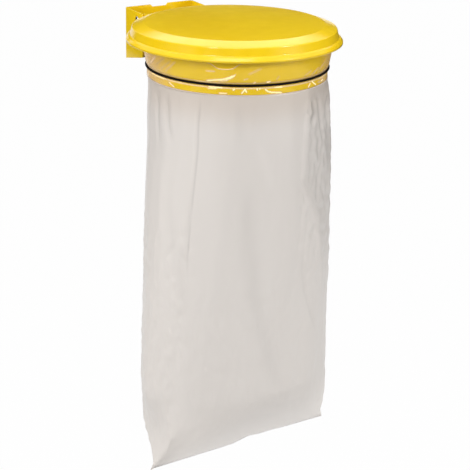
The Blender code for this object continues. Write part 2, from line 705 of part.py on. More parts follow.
def make_bolt_set(side, frame):
    """Make a bolt, its washer and its nut through the saddle and the ring's wall."""
    outside = GAP + SADDLE_THICKNESS + GAP
    washer_top = -RING_THICKNESS - GAP
    washer_low = washer_top - BOLT_WASHER_THICKNESS
    nut_top = washer_low - GAP
    nut_low = nut_top - NUT_HEIGHT
    profile = [
        (0.0, outside + BOLT_HEAD_HEIGHT),
        (BOLT_HEAD_RADIUS * 0.7, outside + BOLT_HEAD_HEIGHT * 0.8),
        (BOLT_HEAD_RADIUS, outside),
        (BOLT_RADIUS, outside),
        (BOLT_RADIUS, nut_low - BOLT_END_BEYOND_NUT),
        (0.0, nut_low - BOLT_END_BEYOND_NUT),
    ]
    bolt = turned(f"saddle_bolt_{side}", profile, frame, steps=SMALL_SEGMENTS)
    bore = BOLT_RADIUS + HOLE_CLEARANCE
    washer = ring_disc(
        f"saddle_washer_{side}", BOLT_WASHER_RADIUS, bore, washer_low, washer_top, frame
    )
    nut = slab(
        f"saddle_nut_{side}",
        [circle(0, 0, NUT_RADIUS, 6), circle(0, 0, bore, SMALL_SEGMENTS)],
        nut_low,
        nut_top,
        frame,
    )
    return bolt, washer, nut


def build():
    """Make every piece and give it its finish."""
    paint = finish_material("yellow powder paint", PAINT_YELLOW, 0.28)
    rubber = finish_material("black rubber", RUBBER_BLACK, 0.6)
    film = finish_material("bag film", FILM_GREY, 0.35, alpha=0.8)
    zinc = finish_material("zinc plate", ZINC_GREY, 0.35, metallic=1.0)
    nylon = finish_material("nylon", NYLON_WHITE, 0.45)

    bolts = saddle_bolt_frames()
    bolt_hole = BOLT_RADIUS + HOLE_CLEARANCE
    bolt_bores = [rod(f"bolt bore {i}", bolt_hole, -OVERRUN, OVERRUN, f) for i, f in enumerate(bolts)]
    rivets = rivet_frames()
    rivet_hole = RIVET_RADIUS + HOLE_CLEARANCE
    rivet_bores = [rod(f"rivet bore {i}", rivet_hole, -OVERRUN / 2, OVERRUN, f) for i, f in enumerate(rivets)]

    keep(make_bracket(), paint)
    keep(make_tongue(), paint)
    keep(make_saddle(bolt_bores), paint)
    keep(make_ring(bolt_bores), paint)
    keep(make_strap(), rubber)
    keep(make_bag(), film)
    for name, side in (("left", -1), ("right", 1)):
        pin, washer, clip = make_pivot(name, side)
        keep(pin, zinc)
        keep(washer, nylon)
        keep(clip, zinc)
    for side, frame in zip(("left", "right"), bolts):
        for piece in make_bolt_set(side, frame):
            keep(piece, zinc)

    axis = bpy.data.objects.new("lid hinge axis", None)
    axis.location = HINGE
    PART.objects.link(axis)
    bpy.context.view_layer.update()
    keep(make_lid(rivet_bores), paint, axis)
    keep(make_lid_hinge(rivet_bores), paint, axis)
    for number, frame in enumerate(rivets, start=1):
        keep(make_rivet(f"lid_rivet_{number}", frame), paint, axis)
    bpy.context.view_layer.update()


clear_scene()
PART = new_collection("bin bag holder")
CUTTERS = new_collection("cutters")
build()
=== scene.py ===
"""Looks of a wall-mounted bin bag holder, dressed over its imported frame.

Metres, +Z up. The origin is the centre of the bracket's rear face, +Y points into the wall and the
object stands out along -Y. Angles round the ring are counted from the front, positive towards +X,
and drops are counted down from the lower edge of the lid's brim.
"""

import logging
import math
from dataclasses import dataclass, field
from enum import Enum
from typing import Any, Sequence

import bmesh
import bpy
import numpy as np
from mathutils import Matrix, Vector, noise

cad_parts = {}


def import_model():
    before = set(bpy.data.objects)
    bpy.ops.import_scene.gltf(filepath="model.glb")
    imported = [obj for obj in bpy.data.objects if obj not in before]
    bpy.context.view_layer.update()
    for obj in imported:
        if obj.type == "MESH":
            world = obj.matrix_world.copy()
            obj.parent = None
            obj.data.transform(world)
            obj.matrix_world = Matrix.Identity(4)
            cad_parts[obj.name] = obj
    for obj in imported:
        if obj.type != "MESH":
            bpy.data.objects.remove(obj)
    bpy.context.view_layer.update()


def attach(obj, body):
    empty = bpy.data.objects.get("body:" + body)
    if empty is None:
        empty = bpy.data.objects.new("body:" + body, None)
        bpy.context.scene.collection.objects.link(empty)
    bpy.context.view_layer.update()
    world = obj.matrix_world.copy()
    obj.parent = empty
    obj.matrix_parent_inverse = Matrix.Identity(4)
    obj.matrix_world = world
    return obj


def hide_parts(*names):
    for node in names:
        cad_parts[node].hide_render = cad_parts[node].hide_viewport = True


LOG = logging.getLogger("bin bag holder")

Colour = tuple[float, float, float]
Triple = tuple[float, float, float]
Pair = tuple[float, float]
# A span holds where a share is 0 and where it has risen to 1
Span = tuple[float, float]

HOLDER = "holder"
LID_ASSEMBLY = "lid_assembly"
BRIM_HEIGHT = 0.0322
LID_CENTRE = Vector((0.0, -0.295, BRIM_HEIGHT))
RING_CENTRE = Vector((0.0, -0.307, BRIM_HEIGHT))
CAMERA_AZIMUTH = -34.5
PICTURE_PIXELS = 470
MERGE_DISTANCE = 1e-6
FRAME_MERGE_DISTANCE = 2e-6
FLAT_ANGLE = math.radians(0.8)


class Slot(Enum):
    """Material slots of the record."""

    PAINT = "yellow_paint"
    RUBBER = "black_rubber"
    FILM = "bag_film"
    ZINC = "zinc"
    NYLON = "nylon"


class FoldForm(Enum):
    """Cross-sections of a fold in the film."""

    RIDGE = "ridge"
    VALLEY = "valley"
    STEP = "step"


class LampUse(Enum):
    """What a lamp is there for."""

    MATT = "lights matt shading only"
    GLOSS = "shows in gloss only"


class NodeGraph:
    """A node tree with short calls to add and join nodes."""

    def __init__(self, owner: bpy.types.Material | bpy.types.World) -> None:
        """Empty the node tree of a material or world.

        Args:
            owner: The material or world.
        """
        owner.use_nodes = True
        self.tree = owner.node_tree
        self.tree.nodes.clear()

    def add(self, kind: str, **values: Any) -> bpy.types.Node:
        """Add a node and set its properties or inputs.

        Args:
            kind: Blender's type name of the node.
            **values: Properties of the node, or inputs by name with underscores for spaces.

        Returns:
            The new node.
        """
        node = self.tree.nodes.new(kind)
        for key, value in values.items():
            if hasattr(node, key):
                setattr(node, key, value)
            else:
                node.inputs[key.replace("_", " ")].default_value = value
        return node

    def join(self, source: bpy.types.Node, output: str, target: bpy.types.Node, entry: str | int) -> None:
        """Join an output of one node to an input of another, by its name or number."""
        found = [socket for socket in source.outputs if socket.name == output and socket.enabled]
        self.tree.links.new(found[0], target.inputs[entry])

    def seen(self) -> bpy.types.Node:
        """Tell what the eye sees from what lights the object.

        Returns:
            A node whose Value is 1 for camera, gloss and transmission rays, and 0 for others.
        """
        path = self.add("ShaderNodeLightPath")
        direct = self.add("ShaderNodeMath", operation="MAXIMUM")
        self.join(path, "Is Camera Ray", direct, 0)
        self.join(path, "Is Glossy Ray", direct, 1)
        either = self.add("ShaderNodeMath", operation="MAXIMUM")
        self.join(direct, "Value", either, 0)
        self.join(path, "Is Transmission Ray", either, 1)
        return either


class Shader(NodeGraph):
    """The nodes of one material, round a Principled shader."""

    def __init__(self, name: str) -> None:
        """Start a material.

        Args:
            name: Name of the material.
        """
        self.material = bpy.data.materials.new(name)
        super().__init__(self.material)
        self.surface = self.add("ShaderNodeBsdfPrincipled")
        self.join(self.surface, "BSDF", self.add("ShaderNodeOutputMaterial"), "Surface")

    def set(self, **values: Any) -> None:
        """Set inputs of the Principled shader, with underscores for spaces."""
        for key, value in values.items():
            self.surface.inputs[key.replace("_", " ")].default_value = value

    def feed(self, source: bpy.types.Node, output: str, entry: str) -> None:
        """Join a node's output to an input of the Principled shader."""
        self.join(source, output, self.surface, entry)

    def coordinates(self, scale: Sequence[float] = (1, 1, 1)) -> bpy.types.Node:
        """Add Object coordinates behind a Mapping node.

        Args:
            scale: Scale of the pattern along each axis.

        Returns:
            The Mapping node.
        """
        mapping = self.add("ShaderNodeMapping", Scale=scale)
        self.join(self.add("ShaderNodeTexCoord"), "Object", mapping, "Vector")
        return mapping

    def noise(self, mapping: bpy.types.Node, scale: float, detail: float,
              rough: float = 0.5) -> bpy.types.Node:
        """Add a noise texture on a mapping.

        Args:
            mapping: Node that gives the coordinates.
            scale: Scale of the noise.
            detail: Octaves of the noise.
            rough: Roughness of the octaves.

        Returns:
            The noise node.
        """
        texture = self.add("ShaderNodeTexNoise", Scale=scale, Detail=detail, Roughness=rough)
        self.join(mapping, "Vector", texture, "Vector")
        return texture

    def spread(self, source: bpy.types.Node, output: str, low: float, high: float,
               start: float = 0.3, end: float = 0.7) -> bpy.types.Node:
        """Map a texture's value to a range.

        Args:
            source: Node that gives the value.
            output: Its output.
            low: Value at the start.
            high: Value at the end.
            start: Where the range starts in the source.
            end: Where it ends.

        Returns:
            The Map Range node.
        """
        node = self.add(
            "ShaderNodeMapRange",
            interpolation_type="SMOOTHERSTEP",
            From_Min=start,
            From_Max=end,
            To_Min=low,
            To_Max=high,
        )
        self.join(source, output, node, "Value")
        return node

    def tint(self, factor: bpy.types.Node, output: str, first: Colour, second: Colour) -> bpy.types.Node:
        """Blend two colours by a value.

        Args:
            factor: Node that gives the value.
            output: Its output.
            first: Colour at 0.
            second: Colour at 1.

        Returns:
            The colour ramp node.
        """
        ramp = self.add("ShaderNodeValToRGB")
        for element, colour in zip(ramp.color_ramp.elements, (first, second)):
            element.color = (*colour, 1.0)
        self.join(factor, output, ramp, "Fac")
        return ramp

    def multiply(self, first: bpy.types.Node, output: str, second: bpy.types.Node,
                 other_output: str) -> bpy.types.Node:
        """Multiply one colour by another.

        Args:
            first: Node that gives the first colour.
            output: Its output.
            second: Node that gives the second colour or a value.
            other_output: Its output.

        Returns:
            The mix node, whose output is Result.
        """
        node = self.add("ShaderNodeMix", data_type="RGBA", blend_type="MULTIPLY", Factor=1.0)
        ends = [i for i, socket in enumerate(node.inputs) if socket.name in ("A", "B") and socket.enabled]
        self.join(first, output, node, ends[0])
        self.join(second, other_output, node, ends[1])
        return node

    def bump(self, source: bpy.types.Node, strength: float, distance: float,
             below: bpy.types.Node | None = None) -> bpy.types.Node:
        """Add a bump on top of another one.

        Args:
            source: Noise that gives the height.
            strength: Strength of the bump.
            distance: Height of the bump in metres.
            below: Bump that this one adds to.

        Returns:
            The bump node.
        """
        node = self.add("ShaderNodeBump", Strength=strength, Distance=distance)
        self.join(source, "Fac", node, "Height")
        if below is not None:
            self.join(below, "Normal", node, "Normal")
        return node


@dataclass(frozen=True)
class PaintFinish:
    """Glossy powder coat with a faint orange peel."""

    name: str = "yellow powder coat"
    light: Colour = (0.825, 0.562, 0.008)
    deep: Colour = (0.785, 0.523, 0.006)
    rough: Span = (0.15, 0.22)

    def build(self) -> bpy.types.Material:
        """Build the material.

        Returns:
            The material.
        """
        shader = Shader(self.name)
        place = shader.coordinates()
        cloud = shader.noise(place, scale=7.0, detail=3.0)
        level = shader.spread(cloud, "Fac", 0.0, 1.0, start=0.35, end=0.65)
        shader.feed(shader.tint(level, "Result", self.deep, self.light), "Color", "Base Color")
        haze = shader.noise(place, scale=45.0, detail=4.0, rough=0.6)
        shader.feed(shader.spread(haze, "Fac", *self.rough), "Result", "Roughness")
        peel = shader.noise(place, scale=420.0, detail=2.0)
        ripple = shader.noise(place, scale=60.0, detail=2.0)
        lower = shader.bump(ripple, strength=0.2, distance=0.0001)
        shader.feed(shader.bump(peel, 0.25, 0.00003, lower), "Normal", "Normal")
        shader.set(Specular_IOR_Level=0.42)
        return shader.material


@dataclass(frozen=True)
class FilmFinish:
    """Thin milk-white film, whose cover and tone the mesh carries with painted shade, light and glints: clear
    on the ring, milk-white in folds, and painted darker and warmer just below the ring as shade.
    """

    name: str = "bag film"
    light: Colour = (0.755, 0.710, 0.670)
    deep: Colour = (0.725, 0.679, 0.638)
    # Painted shade: the film is tinted darker and warmer just below the ring, where the lid and ring shade it
    # and the yellow paint bounces light onto it
    ring_shade_tint: Colour = (0.91, 0.865, 0.82)
    ring_shade_top: float = -0.040
    ring_shade_bottom: float = -0.130
    rough: Span = (0.29, 0.38)
    stretch: Triple = (1.0, 1.0, 0.3)

    def build(self) -> bpy.types.Material:
        """Build the material.

        Returns:
            The material.
        """
        shader = Shader(self.name)
        place = shader.coordinates()
        hanging = shader.coordinates(self.stretch)
        axes = shader.add("ShaderNodeSeparateXYZ")
        shader.join(place, "Vector", axes, "Vector")

        soft = shader.noise(hanging, scale=6.0, detail=3.0)
        level = shader.spread(soft, "Fac", 0.0, 1.0, start=0.2, end=0.8)
        tint = shader.tint(level, "Result", self.deep, self.light)
        # Painted shade darkens and warms the film from the ring's foot downwards
        under_ring = shader.spread(axes, "Z", 0.0, 1.0, self.ring_shade_bottom, self.ring_shade_top)
        glow = shader.tint(under_ring, "Result", (1.0, 1.0, 1.0), self.ring_shade_tint)
        ring_shaded = shader.multiply(tint, "Color", glow, "Color")
        tone = shader.add("ShaderNodeAttribute", attribute_name="tone")
        shader.feed(shader.multiply(ring_shaded, "Result", tone, "Color"), "Result", "Base Color")
        shader.feed(shader.add("ShaderNodeAttribute", attribute_name="cover"), "Fac", "Alpha")

        shader.feed(shader.spread(soft, "Fac", *self.rough, start=0.2, end=0.8), "Result", "Roughness")
        crinkle = shader.noise(place, scale=110.0, detail=3.0)
        ripple = shader.noise(hanging, scale=28.0, detail=3.0, rough=0.45)
        lower = shader.bump(ripple, strength=0.30, distance=0.0008)
        shader.feed(shader.bump(crinkle, 0.12, 0.0001, lower), "Normal", "Normal")
        shader.set(Specular_IOR_Level=0.5)
        return shader.material


@dataclass(frozen=True)
class GrainedFinish:
    """A finish whose colour, roughness and bump all follow one fine grain."""

    name: str
    deep: Colour
    light: Colour
    rough: Span
    scale: float
    detail: float = 3.0
    octaves_rough: float = 0.6
    stretch: Triple = (1, 1, 1)
    bump_strength: float = 0.2
    bump_height: float = 0.00003
    inputs: tuple[tuple[str, float], ...] = ()

    def build(self) -> bpy.types.Material:
        """Build the material.

        Returns:
            The material.
        """
        shader = Shader(self.name)
        place = shader.coordinates(self.stretch)
        grain = shader.noise(place, self.scale, self.detail, self.octaves_rough)
        shader.feed(shader.tint(grain, "Fac", self.deep, self.light), "Color", "Base Color")
        shader.feed(shader.spread(grain, "Fac", *self.rough), "Result", "Roughness")
        shader.feed(shader.bump(grain, self.bump_strength, self.bump_height), "Normal", "Normal")
        shader.set(**dict(self.inputs))
        return shader.material


@dataclass(frozen=True)
class RubberFinish(GrainedFinish):
    """Black elastic cord with fine moulding lines."""

    name: str = "black elastic rubber"
    deep: Colour = (0.0035, 0.0022, 0.0018)
    light: Colour = (0.008, 0.006, 0.005)
    rough: Span = (0.60, 0.78)
    scale: float = 900.0
    stretch: Triple = (1, 1, 3)
    bump_strength: float = 0.4
    bump_height: float = 0.00008
    inputs: tuple[tuple[str, float], ...] = (("Specular_IOR_Level", 0.06),)


@dataclass(frozen=True)
class ZincFinish(GrainedFinish):
    """Bright zinc plate with fine turning marks."""

    name: str = "bright zinc"
    deep: Colour = (0.50, 0.50, 0.52)
    light: Colour = (0.72, 0.72, 0.74)
    rough: Span = (0.22, 0.40)
    scale: float = 600.0
    detail: float = 4.0
    inputs: tuple[tuple[str, float], ...] = (("Metallic", 1.0),)


@dataclass(frozen=True)
class NylonFinish(GrainedFinish):
    """Natural nylon of a thin washer."""

    name: str = "natural nylon"
    deep: Colour = (0.74, 0.73, 0.69)
    light: Colour = (0.80, 0.79, 0.76)
    rough: Span = (0.38, 0.52)
    scale: float = 350.0
    octaves_rough: float = 0.5
    inputs: tuple[tuple[str, float], ...] = (("Subsurface_Weight", 0.15), ("Subsurface_Scale", 0.002))


@dataclass
class Finishes:
    """All materials of the object, by slot."""

    made: dict[Slot, bpy.types.Material] = field(default_factory=dict)

    def build(self) -> None:
        """Build every material once."""
        self.made = {
            Slot.PAINT: PaintFinish().build(),
            Slot.RUBBER: RubberFinish().build(),
            Slot.FILM: FilmFinish().build(),
            Slot.ZINC: ZincFinish().build(),
            Slot.NYLON: NylonFinish().build(),
        }

    def dress(self, piece: bpy.types.Object, slot: Slot) -> None:
        """Give a piece the one finish of its slot.

        Args:
            piece: Object to dress.
            slot: Material slot of the record.
        """
        piece.data.materials.clear()
        piece.data.materials.append(self.made[slot])


@dataclass
class SubAssembly:
    """What the sub-assemblies share: the finishes and the pieces that they have made."""

    finishes: Finishes
    pieces: list[bpy.types.Object] = field(default_factory=list)

    def keep(self, piece: bpy.types.Object, slot: Slot, body: str, node: str) -> None:
        """Dress a finished piece, let it ride on its body and stand for its frame node.

        Args:
            piece: The piece.
            slot: Material slot of the record.
            body: Body that it rides on.
            node: Frame node that it replaces.
        """
        self.finishes.dress(piece, slot)
        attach(piece, body)
        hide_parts(node)
        self.pieces.append(piece)


def piece_of(shape: bmesh.types.BMesh, name: str, smooth: bool = True) -> bpy.types.Object:
    """Make an object of a bmesh, at the origin.

    Args:
        shape: The shape, which is freed.
        name: Name of the object.
        smooth: Whether its faces are shaded smooth.

    Returns:
        The object, in the scene.
    """
    mesh = bpy.data.meshes.new(name)
    shape.to_mesh(mesh)
    shape.free()
    if smooth:
        mesh.shade_smooth()
    piece = bpy.data.objects.new(name, mesh)
    bpy.context.scene.collection.objects.link(piece)
    return piece


def turn_outward(shape: bmesh.types.BMesh, axis_point: Vector) -> None:
    """Turn all faces of an open turned shell away from its axis.

    Args:
        shape: The shell.
        axis_point: A point on its axis, low inside it.
    """
    bmesh.ops.recalc_face_normals(shape, faces=shape.faces)
    shape.normal_update()
    outward = sum(
        (face.calc_center_median() - axis_point).dot(face.normal) * face.calc_area() for face in shape.faces
    )
    if outward < 0:
        bmesh.ops.reverse_faces(shape, faces=shape.faces)


@dataclass(frozen=True)
class Corner:
    """A corner of a turned profile."""

    radius: float
    height: float
    rounding: float = 0.0


def rounded_profile(corners: Sequence[Corner], steps: int) -> list[Vector]:
    """Round the inner corners of an open profile with arcs.

    Args:
        corners: Corners in order.
        steps: Segments of each arc.

    Returns:
        Points of (radius, 0, height).
    """
    points: list[Vector] = []
    for i, corner in enumerate(corners):
        here = Vector((corner.radius, 0.0, corner.height))
        if corner.rounding <= 0:
            points.append(here)
            continue
        before = corners[i - 1]
        after = corners[i + 1]
        back = (Vector((before.radius, 0.0, before.height)) - here).normalized()
        ahead = (Vector((after.radius, 0.0, after.height)) - here).normalized()
        half = back.angle(ahead) / 2
        centre = here + (back + ahead).normalized() * corner.rounding / math.sin(half)
        run = corner.rounding / math.tan(half)
        first = here + back * run - centre
        last = here + ahead * run - centre
        for k in range(steps + 1):
            points.append(centre + first.slerp(last, k / steps) * corner.rounding)
    return points


def spin_round(shape: bmesh.types.BMesh, centre: Vector, steps: int) -> None:
    """Spin an outline once round a vertical axis.

    Args:
        shape: The outline, drawn round the origin.
        centre: Point on the axis, to which the result is moved.
        steps: Segments of the turn.
    """
    bmesh.ops.spin(
        shape,
        geom=[*shape.verts, *shape.edges],
        cent=(0, 0, 0),
        axis=(0, 0, 1),
        dvec=(0, 0, 0),
        angle=2 * math.pi,
        steps=steps,
        use_merge=True,
    )
    bmesh.ops.remove_doubles(shape, verts=shape.verts, dist=MERGE_DISTANCE)
    bmesh.ops.translate(shape, verts=shape.verts, vec=centre)


def turned_shell(points: Sequence[Vector], centre: Vector, steps: int) -> bmesh.types.BMesh:
    """Spin an open profile to a shell.

    Args:
        points: Profile of (radius, 0, height above the centre).
        centre: Point on the axis.
        steps: Segments of the turn.

    Returns:
        The shell, faces outward.
    """
    shape = bmesh.new()
    chain = [shape.verts.new(point) for point in points]
    for pair in zip(chain, chain[1:]):
        shape.edges.new(pair)
    spin_round(shape, centre, steps)
    well_below = Vector((0, 0, 0.2))
    turn_outward(shape, centre - well_below)
    return shape


def wall(piece: bpy.types.Object, thickness: float) -> None:
    """Give an open shell its thickness on the inner side.

    Args:
        piece: The shell.
        thickness: Thickness in metres.
    """
    step = piece.modifiers.new("wall", "SOLIDIFY")
    step.thickness = thickness
    step.offset = -1.0
    step.use_even_offset = True


def soften(piece: bpy.types.Object, width: float, angle: float = 30.0) -> None:
    """Round the sharp edges of a piece a little.

    Args:
        piece: The piece.
        width: Width of the rounding.
        angle: Smallest angle, in degrees, between faces at a sharp edge.
    """
    step = piece.modifiers.new("soft edges", "BEVEL")
    step.width = width
    step.segments = 2
    step.limit_method = "ANGLE"
    step.angle_limit = math.radians(angle)
    step.harden_normals = True


def frame_copy(node: str) -> bmesh.types.BMesh:
    """Copy the mesh of a frame node as a merged bmesh with flat faces joined.

    Args:
        node: Name of the node.

    Returns:
        The copy.
    """
    shape = bmesh.new()
    shape.from_mesh(bpy.data.objects[node].data)
    bmesh.ops.remove_doubles(shape, verts=shape.verts, dist=FRAME_MERGE_DISTANCE)
    bmesh.ops.dissolve_limit(
        shape, angle_limit=FLAT_ANGLE, use_dissolve_boundaries=False, verts=shape.verts, edges=shape.edges
    )
    return shape


def softened_copy(node: str, name: str, width: float, angle: float = 30.0) -> bpy.types.Object:
    """Make a piece of a frame node's shape, with its sharp edges rounded.

    Args:
        node: Name of the node.
        name: Name of the piece.
        width: Width of the rounding.
        angle: Smallest angle, in degrees, between faces at a sharp edge.

    Returns:
        The piece.
    """
    piece = piece_of(frame_copy(node), name)
    soften(piece, width, angle)
    return piece


@dataclass
class Lid(SubAssembly):
    """Pressed steel lid: domed top, bevel, crown wall and a flared brim."""

    thickness: float = 0.0012
    steps: int = 360
    arc_steps: int = 6

    def profile(self) -> list[Vector]:
        """Draw the outer profile from the centre to the brim's edge.

        Returns:
            Points of (radius, 0, height above the brim).
        """
        corners = [
            Corner(0.0, 0.0385),
            Corner(0.060, 0.0382),
            Corner(0.120, 0.0371),
            Corner(0.160, 0.0361),
            Corner(0.1828, 0.0351, 0.0060),
            Corner(0.2076, 0.0268, 0.0035),
            Corner(0.2114, 0.0105, 0.0022),
            Corner(0.2152, 0.0086, 0.0022),
            Corner(0.2197, 0.0030, 0.0022),
            Corner(0.2200, -0.0006),
        ]
        return rounded_profile(corners, self.arc_steps)

    def build(self) -> None:
        """Build and dress the lid."""
        lid = piece_of(turned_shell(self.profile(), LID_CENTRE, self.steps), "lid_pressing")
        wall(lid, self.thickness)
        self.keep(lid, Slot.PAINT, LID_ASSEMBLY, "lid")


@dataclass
class BagRing(SubAssembly):
    """Rolled conical ring with a rim, a strap groove, a bead and a curled foot."""

    thickness: float = 0.0015
    steps: int = 300
    arc_steps: int = 4

    def profile(self) -> list[Vector]:
        """Draw the outer profile from the rim to the foot.

        Returns:
            Points of (radius, 0, height above the brim).
        """
        corners = [
            Corner(0.1876, 0.0028),
            Corner(0.1936, 0.0030, 0.0018),
            Corner(0.1862, -0.0410, 0.0015),
            Corner(0.1821, -0.0485, 0.0012),
            Corner(0.1821, -0.0510, 0.0012),
            Corner(0.1834, -0.0545, 0.0015),
            Corner(0.1834, -0.0682, 0.0012),
            Corner(0.1796, -0.0703, 0.0008),
            Corner(0.1764, -0.0700),
        ]
        return rounded_profile(corners, self.arc_steps)

    def build(self) -> None:
        """Build and dress the ring."""
        ring = piece_of(turned_shell(self.profile(), RING_CENTRE, self.steps), "rolled_ring")
        wall(ring, self.thickness)
        self.keep(ring, Slot.PAINT, HOLDER, "bag_ring")


@dataclass
class Bracket(SubAssembly):
    """Folded wall bracket with two cheeks, and the tongue and saddle that carry the ring."""

    half_width: float = 0.0845
    thickness: float = 0.0030
    fold_outside: float = 0.0042
    fold_inside: float = 0.0012
    fold_segments: int = 6
    line_tolerance: float = 1e-4
    edge: float = 0.0004

    def round_folds(self, shape: bmesh.types.BMesh, across: float, depth: float, width: float) -> None:
        """Round the two upright edges of the folds, one at each side.

        Args:
            shape: The bracket.
            across: Distance of the edges from the middle.
            depth: Their place along Y.
            width: Width of the rounding.
        """
        line = Vector((across, depth))
        near = {
            vert
            for vert in shape.verts
            if (Vector((abs(vert.co.x), vert.co.y)) - line).length < self.line_tolerance
        }
        edges = [edge for edge in shape.edges if near.issuperset(edge.verts)]
        bmesh.ops.bevel(
            shape,
            geom=edges,
            offset=width,
            segments=self.fold_segments,
            profile=0.5,
            affect="EDGES",
            material=-1,
        )

    def build(self) -> None:
        """Build and dress the bracket and the ring's support."""
        shape = frame_copy("wall_bracket")
        self.round_folds(shape, self.half_width, 0.0, self.fold_outside)
        self.round_folds(shape, self.half_width - self.thickness, -self.thickness, self.fold_inside)
        bracket = piece_of(shape, "folded_bracket")
        soften(bracket, self.edge)
        self.keep(bracket, Slot.PAINT, HOLDER, "wall_bracket")
        for node, name in (("ring_tongue", "tongue_plate"), ("ring_saddle", "curved_saddle")):
            self.keep(softened_copy(node, name, self.edge), Slot.PAINT, HOLDER, node)


@dataclass
class LidHinge(SubAssembly):
    """Hinge leaf with its lugs, and the rivets through the crown."""

    edge: float = 0.0004
    rivet_edge: float = 0.0003
    rivet_angle: float = 25.0
    rivets: tuple[str, ...] = ("lid_rivet_1", "lid_rivet_2", "lid_rivet_3", "lid_rivet_4")

    def build(self) -> None:
        """Build and dress the hinge and its rivets."""
        leaf = softened_copy("lid_hinge", "hinge_leaf", self.edge)
        self.keep(leaf, Slot.PAINT, LID_ASSEMBLY, "lid_hinge")
        for node in self.rivets:
            rivet = softened_copy(node, f"{node}_domed", self.rivet_edge, self.rivet_angle)
            self.keep(rivet, Slot.PAINT, LID_ASSEMBLY, node)


@dataclass
class Fasteners(SubAssembly):
    """Pivot pins, clips, washers, bolts and nuts, in pairs."""

    edge: float = 0.0002
    angle: float = 25.0
    kinds: tuple[tuple[str, Slot], ...] = (
        ("pivot_pin", Slot.ZINC),
        ("pin_clip", Slot.ZINC),
        ("saddle_bolt", Slot.ZINC),
        ("saddle_washer", Slot.ZINC),
        ("saddle_nut", Slot.ZINC),
        ("hinge_washer", Slot.NYLON),
    )

    def build(self) -> None:
        """Build and dress every fastener."""
        for kind, slot in self.kinds:
            for side in ("left", "right"):
                node = f"{kind}_{side}"
                self.keep(softened_copy(node, f"{node}_turned", self.edge, self.angle), slot, HOLDER, node)


@dataclass
class ElasticStrap(SubAssembly):
    """Round elastic cord stretched round the film in the ring's groove."""

    centre_radius: float = 0.1853
    cord_radius: float = 0.0023
    drop: float = 0.0492
    steps: int = 300
    section_steps: int = 20

    def build(self) -> None:
        """Build and dress the strap."""
        shape = bmesh.new()
        bmesh.ops.create_circle(shape, segments=self.section_steps, radius=self.cord_radius)
        stand = Matrix.Translation((self.centre_radius, 0, -self.drop)) @ Matrix.Rotation(math.pi / 2, 4, "X")
        bmesh.ops.transform(shape, matrix=stand, verts=shape.verts)
        spin_round(shape, RING_CENTRE, self.steps)
        bmesh.ops.recalc_face_normals(shape, faces=shape.faces)
        self.keep(piece_of(shape, "elastic_cord_loop"), Slot.RUBBER, HOLDER, "elastic_strap")


def ramp(value: np.ndarray, start: float | np.ndarray = 0.0, end: float | np.ndarray = 1.0) -> np.ndarray:
    """Ease from 0 to 1 between two values.

    Args:
        value: Values to ease.
        start: Where the result is 0.
        end: Where it is 1, above or below the start.

    Returns:
        Shares from 0 to 1.
    """
    held = np.clip((value - start) / (end - start), 0, 1)
    return held * held * (3 - 2 * held)


def bell(value: np.ndarray, centre: float | np.ndarray, width: float, power: int = 2) -> np.ndarray:
    """Rise to 1 at a centre and fall away on both sides.

    Args:
        value: Values to test.
        centre: Where the result is 1.
        width: Distance at which it has fallen to 0.37.
        power: How flat its top is: 2 for round, 4 for flatter.

    Returns:
        Shares from 0 to 1.
    """
    return np.exp(-(((value - centre) / width) ** power))


@dataclass(frozen=True)
class Fold:
    """A fold, crease or pleat of the film along a line of (angle in degrees, drop in metres).

    Height and width are in metres. Cover is how much milkiness it gives clear film, partly from the folded
    film and partly as painted glints. Shade is how much it darkens the film, partly for the folded film and
    partly as painted shade, or how much it lightens the film as a painted highlight where it is negative.
    Taper is the share of its line over which each end fades.
    """

    line: tuple[Pair, ...]
    height: float
    width: float
    cover: float = 0.0
    shade: float = 0.0
    form: FoldForm = FoldForm.RIDGE
    taper: float = 0.25
    step_reach: float = 6.0

    def trace(self, angle: np.ndarray, drop: np.ndarray, radius: float) -> tuple[np.ndarray, np.ndarray]:
        """Follow the fold over the film.

        Args:
            angle: Angles of the points in degrees.
            drop: Drops of the points in metres.
            radius: Radius that turns angles to lengths.

        Returns:
            Outward offsets in metres, and how strongly each point belongs to the fold.
        """
        scale = math.radians(1) * radius
        nodes = [np.array((turn * scale, down)) for turn, down in self.line]
        spot = np.stack([angle * scale, drop], -1)
        lengths = [float(np.linalg.norm(b - a)) for a, b in zip(nodes, nodes[1:])]
        best = np.full(len(spot), np.inf)
        side = np.zeros(len(spot))
        along = np.zeros(len(spot))
        run = 0.0
        for a, b, length in zip(nodes, nodes[1:], lengths):
            direction = (b - a) / length
            gone = np.clip((spot - a) @ direction, 0, length)
            away = spot - a - gone[:, None] * direction
            distance = np.linalg.norm(away, axis=1)
            nearer = distance < best
            best = np.where(nearer, distance, best)
            side = np.where(nearer, away @ np.array((direction[1], -direction[0])), side)
            along = np.where(nearer, (run + gone) / sum(lengths), along)
            run += length
        ends = ramp(np.minimum(along, 1 - along), 0, self.taper) if self.taper > 0 else np.ones(len(spot))
        if self.form is FoldForm.STEP:
            belongs = ends * bell(best, 0, self.step_reach * self.width)
            return self.height * np.tanh(side / self.width) * belongs, belongs
        belongs = ends * bell(best, 0, self.width)
        sign = 1.0 if self.form is FoldForm.RIDGE else -1.0
        return sign * self.height * belongs, belongs


@dataclass(frozen=True)
class SideMove:
    """A small move of one side of the hanging film at one level.

    Side is 1 for the right and -1 for the left. Share and spread tell the level and how far it
    reaches, as shares of the way to the seam, and the amount is in metres outward.
    """

    side: int
    share: float
    spread: float
    amount: float


